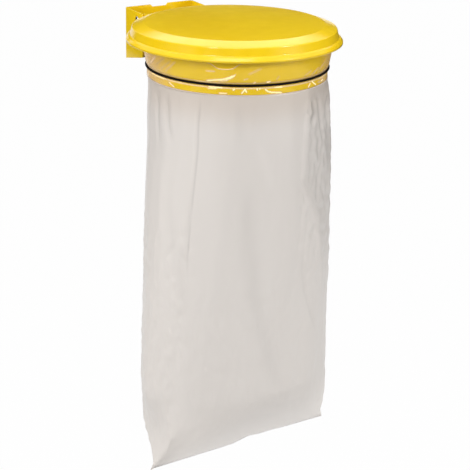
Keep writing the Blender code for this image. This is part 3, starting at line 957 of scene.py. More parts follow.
@dataclass(frozen=True)
class Unevenness:
    """One size of the film's uneven moves.

    The amount is in metres, across and down tell how fine it is, and start shifts the pattern.
    """

    amount: float
    across: float
    down: float
    start: float = 0.0

    def moves(self, x: np.ndarray, y: np.ndarray, drop: np.ndarray) -> np.ndarray:
        """Return how far each point moves outward."""
        spots = np.stack([x * self.across, y * self.across, drop * self.down + self.start], -1)
        return self.amount * np.array([noise.noise(Vector(spot)) for spot in spots])


# Uneven moves of the hanging film, and its wrinkles
BROAD_WAVES = Unevenness(0.0016, across=9, down=4)
FINE_WAVES = Unevenness(0.0004, across=40, down=12, start=5)
WRINKLES = Unevenness(0.0026, across=75, down=55, start=9)

# Creases of the film on the ring, which show as pale or dark lines over the paint: the pale lines are partly
# milkiness of the folded film and partly painted glints, the dark ones painted shade
RING_FOLDS: tuple[Fold, ...] = (
    # Pale lines along both sides of the strap, where the film is pinched: partly pinched film, partly painted
    # highlights that also hide the shade in the groove
    Fold(((-107.0, 0.0548), (40.0, 0.0550)), 0.0001, 0.0010, 0.48, taper=0.0),
    Fold(((-107.0, 0.0450), (40.0, 0.0450)), 0.0001, 0.0010, 0.38, taper=0.0),
    Fold(((-53.5, 0.0225), (-46.8, 0.0215)), 0.0002, 0.0012, 0.35),
    Fold(
        ((-54.0, 0.043), (-47.5, 0.0395), (-43.2, 0.0375), (-38.5, 0.0335), (-36.2, 0.029), (-35.0, 0.024)),
        0.0004, 0.0013, 0.85, taper=0.15,
    ),
    Fold(((-42.0, 0.0370), (-38.5, 0.0335), (-36.2, 0.0285)), 0.0004, 0.0020, 0.85),
    Fold(((-46.0, 0.0415), (-39.0, 0.0385)), 0.0002, 0.0012, 0.50),
    Fold(((-64.0, 0.0450), (-53.2, 0.0455), (-47.0, 0.0455), (-41.0, 0.0460)), 0.0002, 0.0012, 0.50),
    Fold(((-28.8, 0.0275), (-24.2, 0.0205), (-19.8, 0.0135)), 0.0002, 0.0022, 0.16),
    Fold(((-31.0, 0.0380), (-27.5, 0.0340)), 0.0002, 0.0013, 0.25),
    Fold(((-25.0, 0.0460), (-23.2, 0.0415)), 0.0003, 0.0011, 0.75),
    Fold(((-17.0, 0.0435), (-14.0, 0.0420)), 0.0003, 0.0012, 0.90),
    Fold(((-10.8, 0.0420), (-8.8, 0.0300)), 0.0002, 0.0014, 0.18),
    Fold(((9.0, 0.0415), (17.0, 0.0295)), 0.0002, 0.0014, 0.16),
    Fold(((15.5, 0.0430), (24.8, 0.0280)), 0.00025, 0.0016, 0.24),
    Fold(((22.0, 0.0410), (33.0, 0.0200)), 0.00025, 0.0016, 0.22),
    Fold(((-52.8, 0.0540), (-47.0, 0.0545), (-41.5, 0.0550)), 0.0002, 0.0013, 0.75),
    Fold(((-53.0, 0.0575), (-46.0, 0.0570)), 0.00015, 0.0012, 0.55),
    Fold(((-37.2, 0.0590), (-35.5, 0.0555)), 0.00035, 0.0014, 0.80),
    Fold(((-45.8, 0.0655), (-39.8, 0.0655)), 0.0002, 0.0012, 0.60),
    Fold(((-31.8, 0.0655), (-29.5, 0.0565), (-28.5, 0.0635)), 0.0004, 0.0011, 0.95, taper=0.1),
    Fold(((-22.5, 0.0540), (-22.0, 0.0600)), 0.00035, 0.0011, 0.90),
    Fold(((-20.8, 0.0545), (-20.5, 0.0580)), 0.0003, 0.0010, 0.75),
    Fold(
        ((-18.0, 0.0555), (-15.5, 0.0620), (-13.0, 0.0645), (-5.5, 0.0670)),
        0.00035, 0.0012, 0.85, taper=0.15,
    ),
    Fold(((-12.2, 0.0545), (-5.0, 0.0555)), 0.00025, 0.0012, 0.75),
    Fold(((14.8, 0.0660), (17.0, 0.0580)), 0.0004, 0.0011, 0.95, taper=0.1),
    Fold(((18.0, 0.0550), (23.5, 0.0660)), 0.0004, 0.0011, 0.95, taper=0.1),
    Fold(((29.5, 0.0620), (34.0, 0.0610)), 0.0003, 0.0012, 0.85),
    Fold(((22.5, 0.0540), (35.8, 0.0580)), 0.0002, 0.0012, 0.40),
    Fold(((24.0, 0.0620), (38.0, 0.0640)), 0.0002, 0.0012, 0.35),
    Fold(((-104.0, 0.0540), (-90.0, 0.0545), (-81.8, 0.0545)), 0.0002, 0.0013, 0.65),
    Fold(((-81.8, 0.0545), (-66.0, 0.0545)), 0.00015, 0.0012, 0.40),
    Fold(((-81.5, 0.0570), (-78.0, 0.0630), (-75.5, 0.0665)), 0.0003, 0.0013, 0.55),
    # Dark lines beside the creases: the valleys here carry painted shade
    Fold(((-83.0, 0.0580), (-80.0, 0.0640)), 0.00025, 0.0013, 0.10, 0.25, FoldForm.VALLEY),
    Fold(((-81.2, 0.0080), (-94.0, 0.0345)), 0.0003, 0.0020, 0.12, 0.22, FoldForm.VALLEY),
    Fold(((-75.5, 0.0105), (-88.5, 0.0390)), 0.00025, 0.0020, 0.12, 0.14, FoldForm.VALLEY),
    Fold(((-72.0, 0.0105), (-84.0, 0.0400)), 0.0002, 0.0022, 0.16),
    Fold(((-90.8, 0.0120), (-101.8, 0.0360)), 0.0003, 0.0022, 0.28),
    Fold(((-94.0, 0.0080), (-104.0, 0.0400)), 0.00025, 0.0014, 0.10, 0.20, FoldForm.VALLEY),
)

# Folds of the hanging film and the step at the edge of its right gusset. A positive shade darkens a valley,
# partly for the thicker folded film and partly as painted shade; a negative shade lightens a ridge as a
# painted highlight or glint.
BODY_FOLDS: tuple[Fold, ...] = (
    Fold(
        ((-57.5, 0.072), (-57.2, 0.1431), (-57.5, 0.2862), (-58.0, 0.3214), (-57.2, 0.3919), (-56.5, 0.4645)),
        0.0009, 0.0018, 0.0, 0.13, FoldForm.VALLEY, 0.12,
    ),
    Fold(
        ((-59.2, 0.0720), (-59.0, 0.2000), (-59.0, 0.3000)),
        0.0006, 0.0025, 0.0, -0.03, FoldForm.RIDGE, 0.3,
    ),
    Fold(
        ((-84.5, 0.0760), (-81.8, 0.1286), (-79.5, 0.1576), (-76.5, 0.1846)),
        0.0035, 0.0080, 0.0, 0.06, FoldForm.VALLEY, 0.3,
    ),
    Fold(
        ((-96.0, 0.0750), (-93.0, 0.1300), (-90.0, 0.2000)),
        0.0030, 0.0080, 0.0, 0.02, FoldForm.VALLEY, 0.35,
    ),
    Fold(
        ((-78.2, 0.2343), (-73.5, 0.3152), (-64.8, 0.4168), (-56.5, 0.5226), (-52.0, 0.5744)),
        0.0010, 0.0100, 0.0, 0.025, FoldForm.VALLEY, 0.3,
    ),
    Fold(
        ((-33.8, 0.0720), (-31.8, 0.1369), (-29.8, 0.1783)),
        0.0015, 0.0090, 0.0, 0.035, FoldForm.VALLEY, 0.35,
    ),
    Fold(
        ((-27.0, 0.2200), (-24.8, 0.2841), (-19.5, 0.3919), (-14.2, 0.5060), (-7.8, 0.5910), (7.0, 0.7590)),
        0.0008, 0.0160, 0.0, 0.055, FoldForm.VALLEY, 0.2,
    ),
    Fold(
        ((-24.2, 0.1500), (-13.2, 0.2323), (-7.0, 0.2903)),
        0.0010, 0.0100, 0.0, -0.030, FoldForm.RIDGE, 0.3,
    ),
    Fold(
        ((15.0, 0.0720), (13.5, 0.1327), (11.8, 0.1825), (12.2, 0.2613), (27.0, 0.3546), (39.5, 0.4915)),
        0.0030, 0.0035, 0.0, 0.0, FoldForm.STEP, 0.2,
    ),
    Fold(
        ((19.5, 0.0850), (21.0, 0.1203), (17.2, 0.1514)),
        0.0030, 0.0048, 0.0, 0.22, FoldForm.VALLEY, 0.3,
    ),
    Fold(((16.2, 0.0850), (17.8, 0.1306)), 0.0020, 0.0022, 0.0, -0.08, FoldForm.RIDGE, 0.3),
    Fold(
        ((26.0, 0.0760), (29.0, 0.1300), (31.0, 0.1900)),
        0.0035, 0.0060, 0.0, 0.05, FoldForm.VALLEY, 0.35,
    ),
    Fold(
        ((38.0, 0.0850), (41.0, 0.1600), (46.0, 0.2600)),
        0.0040, 0.0110, 0.0, 0.02, FoldForm.VALLEY, 0.3,
    ),
    Fold(
        ((16.0, 0.4106), (19.0, 0.4666), (21.5, 0.5164), (28.5, 0.5806), (39.5, 0.6470)),
        0.0012, 0.0035, 0.0, 0.05, FoldForm.VALLEY, 0.25,
    ),
    Fold(((-68.5, 0.5703), (-64.2, 0.5786)), 0.0004, 0.0028, 0.0, -0.12, FoldForm.RIDGE, 0.3),
    Fold(((-43.0, 0.6470), (-39.2, 0.6532)), 0.0004, 0.0028, 0.0, -0.09, FoldForm.RIDGE, 0.3),
    Fold(((-73.5, 0.5475), (-70.5, 0.5537)), 0.0003, 0.0026, 0.0, -0.07, FoldForm.RIDGE, 0.3),
)

# Places along X from the ring's centre, and how far the seam is lifted there
SEAM_WAVE = (
    (-0.030, -0.012, -0.0045, 0.0100, 0.0170, 0.0385, 0.0600, 0.1000, 0.1300, 0.2000, 0.2400),
    (0.0010, 0.0012, 0.0028, 0.0080, 0.0100, 0.0082, 0.0062, 0.0060, 0.0042, 0.0030, 0.0020),
)

# Where the outlines of the hanging film stand out or in
SIDE_MOVES = (
    SideMove(1, 0.006, 0.014, -0.0020),
    SideMove(1, 0.050, 0.050, 0.0050),
    SideMove(-1, 0.030, 0.040, -0.0045),
    SideMove(1, 0.130, 0.060, -0.0025),
    SideMove(1, 0.680, 0.120, -0.0035),
    SideMove(1, 0.910, 0.050, -0.0050),
    SideMove(1, 0.985, 0.012, 0.0025),
    SideMove(-1, 0.800, 0.130, 0.0022),
)

# Drops, and the angle of the right gusset's front edge there
GUSSET_EDGE = (
    (0.0829, 0.1327, 0.1825, 0.2613, 0.3546, 0.4915),
    (15.0, 13.5, 11.8, 12.2, 27.0, 39.5),
)

# Drops, and the angle where the painted light on the left side begins there
LEFT_EDGE = (
    (0.0700, 0.2343, 0.3152, 0.4168, 0.5226, 0.7500),
    (-95.0, -79.0, -74.0, -65.0, -57.0, -50.0),
)


@dataclass(frozen=True)
class Ripple:
    """A wave round the hanging film: how many, how high in metres, and how it turns on its way down."""

    count: int
    height: float
    phase: float
    drift: float


# Waves round the hanging film, coarse to fine
SACK_RIPPLES = (Ripple(9, 0.0009, 0.4, 3.6), Ripple(17, 0.0005, 2.0, -4.8), Ripple(31, 0.0003, 0.9, 7.2))


def net_places(shape: bmesh.types.BMesh) -> tuple[np.ndarray, np.ndarray]:
    """Return the angle in degrees and the row of each point of a net."""
    flat = np.array([vert.co for vert in shape.verts])
    return np.degrees(np.arctan2(flat[:, 0], -flat[:, 1])), -flat[:, 2]


@dataclass
class Film(SubAssembly):
    """What the two parts of the film bag share."""

    film: float = 0.00022
    foot_drop: float = 0.0705
    bead_radius: float = 0.1841
    fold_radius: float = 0.188
    net_tolerance: float = 1e-4
    inside_height: float = -0.4

    def net(self, columns: int, rows: int, closed: bool) -> bmesh.types.BMesh:
        """Make a net of faces by extruding a circle row by row.

        Args:
            columns: Faces round the net.
            rows: Faces down the net.
            closed: Whether a narrow strip closes its last row.

        Returns:
            The net. Each vertex's height is minus its row.
        """
        shape = bmesh.new()
        bmesh.ops.create_circle(shape, segments=columns, radius=1.0)
        loop = list(shape.edges)
        for _ in range(rows):
            made = bmesh.ops.extrude_edge_only(shape, edges=loop)["geom"]
            below = [item for item in made if isinstance(item, bmesh.types.BMVert)]
            bmesh.ops.translate(shape, verts=below, vec=(0, 0, -1))
            loop = [item for item in made if isinstance(item, bmesh.types.BMEdge)]
        if closed:
            before = [edge for edge in loop if all(vert.co.y < -self.net_tolerance for vert in edge.verts)]
            behind = [edge for edge in loop if all(vert.co.y > self.net_tolerance for vert in edge.verts)]
            ends = [edge for edge in loop if edge not in before and edge not in behind]
            made = bmesh.ops.bridge_loops(shape, edges=before + behind)["edges"]
            bmesh.ops.holes_fill(shape, edges=ends + made, sides=3)
        return shape

    def folded(self, folds: Sequence[Fold], angle: np.ndarray,
               drop: np.ndarray) -> tuple[np.ndarray, np.ndarray, np.ndarray]:
        """Lay folds over the film.

        Args:
            folds: The folds.
            angle: Angles of the points in degrees.
            drop: Drops of the points in metres.

        Returns:
            Outward offset in metres, milkiness with its painted glints, and tone with its painted shade and
            highlights, of each point.
        """
        push = np.zeros(len(angle))
        milk_and_glint = np.zeros(len(angle))
        tone = np.ones(len(angle))
        for fold in folds:
            offset, belongs = fold.trace(angle, drop, self.fold_radius)
            push += offset
            milk_and_glint = np.maximum(milk_and_glint, np.minimum(belongs * (1 + fold.cover), 1) * fold.cover)
            tone -= belongs * fold.shade
        return push, milk_and_glint, tone

    def keep_film(self, shape: bmesh.types.BMesh, spots: np.ndarray, cover: np.ndarray, tones: np.ndarray,
                  name: str) -> None:
        """Move a net to its place, give it its wall and keep it.

        Args:
            shape: The net, which is freed.
            spots: Position of each vertex.
            cover: Cover of the film at each vertex.
            tones: Colour that tints the film at each vertex, with its painted shade, light and glints.
            name: Name of the piece.
        """
        cover_layer = shape.verts.layers.float.new("cover")
        tone_layer = shape.verts.layers.float_color.new("tone")
        for vert, spot, hidden, tone in zip(shape.verts, spots, cover, tones):
            vert.co = spot
            vert[cover_layer] = hidden
            vert[tone_layer] = (*tone, 1.0)
        turn_outward(shape, Vector((RING_CENTRE.x, RING_CENTRE.y, self.inside_height)))
        piece = piece_of(shape, name)
        wall(piece, self.film)
        self.keep(piece, Slot.FILM, HOLDER, "waste_bag")


@dataclass
class FilmCuff(Film):
    """The bag's film that is turned over the ring, from its loose edge to the ring's foot."""

    columns: int = 900
    rows: int = 50
    hem_front: float = 0.0045
    hem_fall: float = 0.0235
    hem_ripple: float = 0.0010
    hem_ripples: int = 5
    hem_phase: float = 0.6
    loop_angle: float = -41.5
    loop_width: float = 7.0
    loop_depth: float = 0.0115
    # The film's loose edge in the hanging loop shows as a pale line, partly the film's edge and partly a
    # painted glint
    hem_milk_and_glint: float = 0.95
    hem_milk_angle: float = 8.5
    hem_milk_width: float = 0.0011
    pressed_height: float = 0.003
    least_haze: float = 0.03
    # Haze at the ring's left and right, where it is seen edge-on: partly the film seen at a slant, partly a
    # painted sheen
    left_haze_and_sheen: float = 0.40
    left_haze_and_sheen_angles: Span = (-68.0, -104.0)
    right_haze_and_sheen: float = 0.28
    right_haze_and_sheen_angles: Span = (18.0, 42.0)
    foot_cover: float = 0.97
    foot_heights: Span = (0.0025, 0.0013)
    warmth: Colour = (0.52, 0.32, 0.08)
    warm_heights: Span = (0.0003, 0.0025)
    # Painted glints: creases are tinted brighter than the film to stand in for light glinting off them
    painted_crease_glint: Colour = (0.70, 0.72, 0.02)
    painted_glint_gain: float = 1.3

    def radius(self, drop: np.ndarray) -> np.ndarray:
        """Follow the ring's outline with the film.

        Args:
            drop: Drops in metres.

        Returns:
            Radius of the film at each drop.
        """
        drops = (-0.0030, 0.0390, 0.0440, 0.0470, 0.0495, 0.0520, 0.0550, 0.0640, self.foot_drop)
        radii = (0.1945, 0.1873, 0.1858, 0.1836, 0.1829, 0.1832, 0.1842, 0.1842, self.bead_radius)
        return np.interp(drop, drops, radii)

    def hem(self, angle: np.ndarray) -> np.ndarray:
        """Lay the film's edge round the ring, with the loop that hangs below the brim.

        Args:
            angle: Angles in degrees.

        Returns:
            Drop of the edge at each angle.
        """
        rear = (1 - np.cos(np.radians(angle))) / 2
        ripple = np.sin(np.radians(angle) * self.hem_ripples + self.hem_phase)
        loop = bell(angle, self.loop_angle, self.loop_width, 4)
        return self.hem_front + self.hem_fall * rear ** 3 + self.hem_ripple * ripple + self.loop_depth * loop

    def cover(self, angle: np.ndarray, height: np.ndarray, milk_and_glint: np.ndarray) -> np.ndarray:
        """Work out how much of the ring the film hides, with haze and painted sheen where the ring turns
        edge-on and the painted glints of its creases.

        Args:
            angle: Angles of the points in degrees.
            height: Their heights over the ring's foot.
            milk_and_glint: How much milkiness and painted glint the folds give them.

        Returns:
            Cover of each point, from 0 to 1.
        """
        # Painted sheen and haze where the ring is seen edge-on from the camera, stronger at the left
        left = self.left_haze_and_sheen * ramp(angle, *self.left_haze_and_sheen_angles)
        right = self.right_haze_and_sheen * ramp(angle, *self.right_haze_and_sheen_angles)
        haze = np.maximum(left + right, self.least_haze)
        on_ring = 1 - np.sqrt(1 - haze) * (1 - milk_and_glint)
        return np.maximum(on_ring, self.foot_cover * ramp(height, *self.foot_heights))

    def build(self) -> None:
        """Build and dress the cuff."""
        shape = self.net(self.columns, self.rows, closed=False)
        angle, row = net_places(shape)
        hem = self.hem(angle)
        drop = hem + (self.foot_drop - hem) * (row / self.rows)
        height = self.foot_drop - drop
        lift, milk_and_glint, tone = self.folded(RING_FOLDS, angle, drop)
        # The loose edge in the hanging loop: a pale line, partly the film's edge and partly a painted glint
        in_loop = bell(angle, self.loop_angle, self.hem_milk_angle, 4)
        milk_and_glint = np.maximum(milk_and_glint, self.hem_milk_and_glint * in_loop * bell(drop, hem, self.hem_milk_width))
        turn = np.radians(angle)
        radius = self.radius(drop) + lift * ramp(height, 0, self.pressed_height)
        x = RING_CENTRE.x + radius * np.sin(turn)
        y = RING_CENTRE.y - radius * np.cos(turn)
        spots = np.stack([x, y, RING_CENTRE.z - drop], -1)
        warmth = np.array(self.warmth) * ramp(height, *self.warm_heights)[:, None]
        # Painted glints: a bright tint where the creases are milkiest
        glow = np.array(self.painted_crease_glint) * ramp(milk_and_glint * self.painted_glint_gain)[:, None]
        tones = tone[:, None] * (1.0 + warmth + glow)
        self.keep_film(shape, spots, self.cover(angle, height, milk_and_glint), tones, "film_cuff")


@dataclass
class FilmSack(Film):
    """The bag's film that hangs from the ring's foot to the flat welded seam."""

    columns: int = 320
    rows: int = 130
    row_start: float = 0.45
    length: float = 0.8295
    cover: float = 0.94
    growth: float = 0.010
    growth_end: float = 0.125
    widening: float = 2.3
    flat_start: float = 0.80
    flat_power: float = 1.6
    squareness: float = 0.8
    tuck: float = 0.016
    tuck_reach: float = 8.0
    side_power: float = 1.5
    seam_half_length: float = 0.2270
    seam_half_thickness: float = 0.0004
    seam_angle: float = math.radians(0.8)
    seam_shift: Pair = (0.0115, -0.0241)
    lean: Pair = (0.0075, -0.0050)
    lean_end: float = 1 / 6
    tip: Pair = (0.0085, 0.0035)
    tip_start: float = 0.9965
    tip_power: int = 30
    wave_power: int = 5
    still_top: float = 1 / 30
    still_bottom: Span = (0.93, 0.99)
    ripple_bottom: Span = (0.75, 1.0)
    left_wrinkle_angles: Span = (-45.0, -60.0)
    left_wrinkle_drops: Span = (0.30, 0.40)
    right_wrinkle_angles: Span = (8.0, 16.0)
    right_wrinkle_drops: Span = (0.60, 0.45)
    low_wrinkles: float = 0.5
    low_wrinkle_drops: Span = (0.42, 0.52)
    # Painted light and shade of the hanging film: the gusset darker, partly for its doubled film and partly
    # as shade; the left side, the lower film and the seam lighter as painted light
    gusset_shade_and_layers: float = 0.095
    gusset_edge_angles: Span = (-0.5, 1.5)
    gusset_rear_angles: Span = (120.0, 95.0)
    gusset_drops: Span = (0.58, 0.38)
    painted_left_light: float = 0.015
    left_edge_angles: Span = (0.0, 8.0)
    left_rear_angles: Span = (-170.0, -150.0)
    left_drops: Span = (0.12, 0.24)
    painted_fall_light: float = 0.05
    painted_seam_light: float = 0.30
    painted_seam_light_gain: float = 1.1
    left_painted_seam_light: float = 0.06
    left_seam_angles: Span = (-35.0, -65.0)

    def closing(self, share: np.ndarray) -> np.ndarray:
        """Return how far the film has flattened towards the seam, from 0 to 1."""
        return np.clip((share - self.flat_start) / (1 - self.flat_start), 0, 1)

    def section(self, share: np.ndarray, angle: np.ndarray) -> tuple[np.ndarray, np.ndarray]:
        """Return points of the hanging bag.

        Args:
            share: Shares of the way from the ring to the seam.
            angle: Angles from the front in degrees.

        Returns:
            X and Y from the ring's centre.
        """
        phi = np.radians(angle) - math.pi / 2 - self.seam_angle
        closing = self.closing(share)
        widen = 1 - (1 - share) ** self.widening
        half_length = self.bead_radius + (self.seam_half_length - self.bead_radius) * widen
        girth = self.bead_radius * (1 + self.growth * ramp(share, 0, self.growth_end))
        thin = self.seam_half_thickness
        half_depth = np.sqrt(np.maximum(2 * girth ** 2 - half_length ** 2, thin ** 2))
        half_depth = thin + (half_depth - thin) * (1 - closing ** self.flat_power)
        power = 1 / (1 + self.squareness * ramp(closing))
        across = np.cos(phi)
        cosine = np.sign(across) * np.abs(across) ** power
        sine = np.sign(np.sin(phi)) * np.abs(np.sin(phi)) ** power
        at_sides = np.maximum(1 - self.tuck_reach * (1 - np.abs(across)), 0)
        x = (half_length - self.tuck * np.sin(math.pi * closing) * at_sides) * cosine
        for move in SIDE_MOVES:
            level = bell(share, move.share, move.spread)
            x = x + move.side * move.amount * level * np.maximum(move.side * across, 0) ** self.side_power
        return self.hung(x, half_depth * sine, share)

    def hung(self, x: np.ndarray, y: np.ndarray, share: np.ndarray) -> tuple[np.ndarray, np.ndarray]:
        """Turn the bag's outline in line with the seam and let it lean.

        Args:
            x: Places along the seam.
            y: Places across it.
            share: Shares of the way from the ring to the seam.

        Returns:
            X and Y from the ring's centre.
        """
        turned_x = x * math.cos(self.seam_angle) - y * math.sin(self.seam_angle)
        turned_y = x * math.sin(self.seam_angle) + y * math.cos(self.seam_angle)
        lean = ramp(share, 0, self.lean_end)
        last = self.closing(share) ** 2
        shift_x = self.lean[0] * lean + (self.seam_shift[0] - self.lean[0]) * last
        shift_y = self.lean[1] * lean + (self.seam_shift[1] - self.lean[1]) * last
        return turned_x + shift_x, turned_y + shift_y

    def wrinkled(self, angle: np.ndarray, drop: np.ndarray) -> np.ndarray:
        """Tell where the film is wrinkled: right gusset, lower left, and less so all round low down.

        Args:
            angle: Angles of the points in degrees.
            drop: Drops of the points in metres.

        Returns:
            How wrinkled each point is, from 0 to 1.
        """
        left = ramp(angle, *self.left_wrinkle_angles) * ramp(drop, *self.left_wrinkle_drops)
        right = ramp(angle, *self.right_wrinkle_angles) * ramp(drop, *self.right_wrinkle_drops)
        return np.maximum(np.maximum(left, right), self.low_wrinkles * ramp(drop, *self.low_wrinkle_drops))

    def light(self, angle: np.ndarray, drop: np.ndarray, share: np.ndarray) -> np.ndarray:
        """Paint light and shade into the tone: the gusset darker, partly for its doubled film and partly as
        painted shade, and the left side, the lower film and the seam lighter as painted light.

        Args:
            angle: Angles of the points in degrees.
            drop: Drops of the points in metres.
            share: Shares of the way from the ring to the seam.

        Returns:
            What each point's tone gains.
        """
        gusset = ramp(angle - np.interp(drop, *GUSSET_EDGE), *self.gusset_edge_angles)
        gusset = gusset * ramp(angle, *self.gusset_rear_angles) * ramp(drop, *self.gusset_drops)
        left = ramp(np.interp(drop, *LEFT_EDGE) - angle, *self.left_edge_angles)
        left = left * ramp(angle, *self.left_rear_angles) * ramp(drop, *self.left_drops)
        near_left = ramp(angle, *self.left_seam_angles)
        seam = self.painted_seam_light + (self.left_painted_seam_light - self.painted_seam_light) * near_left
        low = self.painted_fall_light * share + seam * ramp(self.closing(share) * self.painted_seam_light_gain)
        return low + self.painted_left_light * left - self.gusset_shade_and_layers * gusset

    def build(self) -> None:
        """Build and dress the hanging bag."""
        shape = self.net(self.columns, self.rows, closed=True)
        angle, row = net_places(shape)
        run = row / self.rows
        share = run * (self.row_start + (1 - self.row_start) * run)
        drop = self.foot_drop + share * self.length
        turn = np.radians(angle)
        x, y = self.section(share, angle)
        push, _, tone = self.folded(BODY_FOLDS, angle, drop)
        for ripple in SACK_RIPPLES:
            wave = np.sin(turn * ripple.count + ripple.phase + ripple.drift * share)
            push += ripple.height * wave * (1 - ramp(share, *self.ripple_bottom))
        push += WRINKLES.moves(x, y, drop) * self.wrinkled(angle, drop)
        push += BROAD_WAVES.moves(x, y, drop) + FINE_WAVES.moves(x, y, drop)
        push *= ramp(share, 0, self.still_top) * (1 - ramp(share, *self.still_bottom))
        x = x + push * np.sin(turn)
        y = y - push * np.cos(turn)

        closing = self.closing(share)
        lift = closing ** self.wave_power * np.interp(x, *SEAM_WAVE)
        tip = np.maximum(-np.sin(turn) - self.tip_start, 0) / (1 - self.tip_start) * closing ** self.tip_power
        x = RING_CENTRE.x + x - self.tip[0] * tip
        z = RING_CENTRE.z - drop + lift - self.tip[1] * tip
        spots = np.stack([x, RING_CENTRE.y + y, z], -1)
        # Painted light and shade join the tone here
        tone += self.light(angle, drop, share)
        tones = np.repeat(tone[:, None], 3, axis=1)
        self.keep_film(shape, spots, np.full(len(drop), self.cover), tones, "film_sack")


@dataclass
class Camera:
    """The camera, turned to the left of the bracket's front and looking down."""

    azimuth: float = CAMERA_AZIMUTH
    pitch: float = 19.6
    roll: float = 1.1
    focal_pixels: float = 1480.0
    scale: float = 493.0
    spot: Pair = (234.5, 38.9)
    sensor_width: float = 36.0

    def build(self) -> None:
        """Create the camera so that the lid's centre falls on its spot."""
        turn, dip, roll = (math.radians(v) for v in (self.azimuth, self.pitch, self.roll))
        ahead = Vector((-math.sin(turn) * math.cos(dip), math.cos(turn) * math.cos(dip), -math.sin(dip)))
        right = Vector((math.cos(turn), math.sin(turn), 0.0))
        above = right.cross(ahead)
        across = right * math.cos(roll) + above * math.sin(roll)
        upward = above * math.cos(roll) - right * math.sin(roll)
        distance = self.focal_pixels / self.scale
        side = (self.spot[0] - PICTURE_PIXELS / 2) / self.scale
        down = (self.spot[1] - PICTURE_PIXELS / 2) / self.scale
        place = LID_CENTRE - ahead * distance - across * side + upward * down
        lens = bpy.data.cameras.new("camera")
        lens.sensor_width = self.sensor_width
        lens.sensor_fit = "HORIZONTAL"
        lens.lens = self.focal_pixels * self.sensor_width / PICTURE_PIXELS
        lens.clip_end = 100.0
        camera = bpy.data.objects.new("camera", lens)
        basis = Matrix((across, upward, -ahead)).transposed().to_4x4()
        camera.matrix_world = Matrix.Translation(place) @ basis
        bpy.context.scene.collection.objects.link(camera)
        bpy.context.scene.camera = camera


@dataclass(frozen=True)
class Stand:
    """A place round the lid, from which a lamp or card faces it.

    Turn is in degrees to the right of the camera's direction, seen from above, rise in degrees above
    the lid, and the distance in metres from the lid's centre.
    """

    turn: float
    rise: float
    distance: float

    def place(self) -> Vector:
        """Work out the place.

        Returns:
            The place in metres.
        """
        heading = math.radians(90 + CAMERA_AZIMUTH - self.turn)
        rise = math.radians(self.rise)
        level = math.cos(rise) * self.distance
        return LID_CENTRE + Vector(
            (level * math.cos(heading), level * math.sin(heading), math.sin(rise) * self.distance)
        )

    def facing(self, front: str) -> Matrix:
        """Return the matrix that moves an object there and turns its front axis to the lid."""
        place = self.place()
        return Matrix.Translation(place) @ (LID_CENTRE - place).to_track_quat(front, "Y").to_matrix().to_4x4()


@dataclass(frozen=True)
class Lamp:
    """A rectangular soft lamp: its size in metres and its power in watts."""

    name: str
    stand: Stand
    size: Pair
    power: float
    use: LampUse

    def build(self) -> None:
        """Hang the lamp."""
        light = bpy.data.lights.new(self.name, "AREA")
        light.shape = "RECTANGLE"
        light.size, light.size_y = self.size
        light.energy = self.power
        lamp = bpy.data.objects.new(self.name, light)
        lamp.matrix_world = self.stand.facing("-Z")
        lamp.visible_diffuse = self.use is LampUse.MATT
        lamp.visible_glossy = self.use is LampUse.GLOSS
        bpy.context.scene.collection.objects.link(lamp)


@dataclass(frozen=True)
class Flag:
    """A dark card that only gloss sees, with its size in metres."""

    name: str
    stand: Stand
    size: Pair

    def build(self) -> None:
        """Hang the card."""
        shape = bmesh.new()
        bmesh.ops.create_grid(shape, x_segments=2, y_segments=2, size=0.5)
        size = Matrix.Diagonal((*self.size, 1.0, 1.0))
        bmesh.ops.transform(shape, matrix=self.stand.facing("Z") @ size, verts=shape.verts)
        card = piece_of(shape, self.name, smooth=False)
        shader = Shader(self.name)
        shader.set(Base_Color=(0.02, 0.02, 0.02, 1.0), Roughness=1.0)
        card.data.materials.append(shader.material)
        card.visible_camera = False
        card.visible_diffuse = False
        card.visible_transmission = False
        card.visible_shadow = False


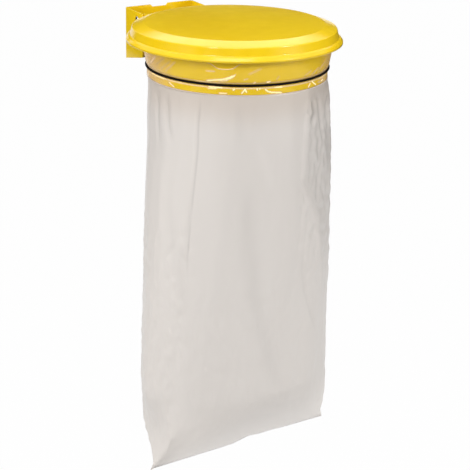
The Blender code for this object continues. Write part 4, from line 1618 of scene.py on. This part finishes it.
@dataclass
class Studio:
    """Pale floor, white surroundings, soft lamps and dark cards."""

    floor_height: float = -1.40
    floor_size: float = 60.0
    floor_colour: Colour = (0.60, 0.60, 0.60)
    floor_glow: float = 0.985
    ambient: float = 0.47
    flags: tuple[Flag, ...] = (
        Flag("flag_behind", Stand(0, 16, 4.2), (5.5, 1.9)),
        Flag("flag_before", Stand(180, -12, 3.4), (7.0, 5.2)),
        Flag("flag_right", Stand(62, -12, 3.4), (8.0, 5.2)),
        Flag("flag_left", Stand(-80, -12, 3.4), (6.0, 5.2)),
    )
    lamps: tuple[Lamp, ...] = (
        Lamp("bevel softbox", Stand(-3, 50, 2.3), (1.8, 1.1), 10.2, LampUse.GLOSS),
        Lamp("brim softbox", Stand(180, 58, 2.4), (1.2, 0.8), 14.0, LampUse.GLOSS),
        Lamp("overhead softbox", Stand(180, 90, 2.2), (1.6, 1.6), 30.5, LampUse.MATT),
        Lamp("front softbox", Stand(180, 31, 3.0), (1.4, 0.9), 38.0, LampUse.MATT),
        Lamp("left softbox", Stand(-112, 10, 3.0), (1.4, 0.9), 32.0, LampUse.MATT),
        Lamp("right softbox", Stand(112, 10, 3.0), (1.4, 0.9), 25.0, LampUse.MATT),
        Lamp("left spot", Stand(-156, 32, 2.6), (0.10, 0.10), 30.0, LampUse.GLOSS),
        Lamp("right spot", Stand(114, 40, 2.6), (0.10, 0.10), 30.0, LampUse.GLOSS),
    )

    def surroundings(self) -> None:
        """Set the world: white to the eye and in gloss, softer as a light."""
        world = bpy.data.worlds.new("studio white")
        graph = NodeGraph(world)
        level = graph.add("ShaderNodeMapRange", To_Min=self.ambient, To_Max=1.0)
        graph.join(graph.seen(), "Value", level, "Value")
        glow = graph.add("ShaderNodeBackground", Color=(1.0, 1.0, 1.0, 1.0))
        graph.join(level, "Result", glow, "Strength")
        graph.join(glow, "Background", graph.add("ShaderNodeOutputWorld"), "Surface")
        bpy.context.scene.world = world

    def floor(self) -> None:
        """Lay the floor: white to the eye, with a faint shadow."""
        shape = bmesh.new()
        bmesh.ops.create_grid(shape, x_segments=4, y_segments=4, size=self.floor_size / 2)
        bmesh.ops.translate(shape, verts=shape.verts, vec=(0, 0, self.floor_height))
        floor = piece_of(shape, "studio_floor", smooth=False)
        material = bpy.data.materials.new("pale floor")
        graph = NodeGraph(material)
        share = graph.add("ShaderNodeMath", operation="MULTIPLY")
        share.inputs[1].default_value = self.floor_glow
        graph.join(graph.seen(), "Value", share, 0)
        mix = graph.add("ShaderNodeMixShader")
        graph.join(share, "Value", mix, "Fac")
        graph.join(graph.add("ShaderNodeBsdfDiffuse", Color=(*self.floor_colour, 1.0)), "BSDF", mix, 1)
        graph.join(graph.add("ShaderNodeEmission", Strength=1.0), "Emission", mix, 2)
        graph.join(mix, "Shader", graph.add("ShaderNodeOutputMaterial"), "Surface")
        floor.data.materials.append(material)

    def build(self) -> None:
        """Build the whole studio."""
        self.surroundings()
        self.floor()
        for item in (*self.flags, *self.lamps):
            item.build()
        bpy.context.scene.view_settings.view_transform = "Standard"


def main() -> None:
    """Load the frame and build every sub-assembly."""
    logging.basicConfig(level=logging.INFO, format="%(message)s")
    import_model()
    finishes = Finishes()
    finishes.build()
    builders = [
        Lid(finishes),
        BagRing(finishes),
        Bracket(finishes),
        LidHinge(finishes),
        Fasteners(finishes),
        ElasticStrap(finishes),
        FilmCuff(finishes),
        FilmSack(finishes),
    ]
    for builder in builders:
        builder.build()
        for piece in builder.pieces:
            LOG.info("%s: %s, %d faces", type(builder).__name__, piece.name, len(piece.data.polygons))
    Camera().build()
    Studio().build()


if __name__ == "__main__":
    main()
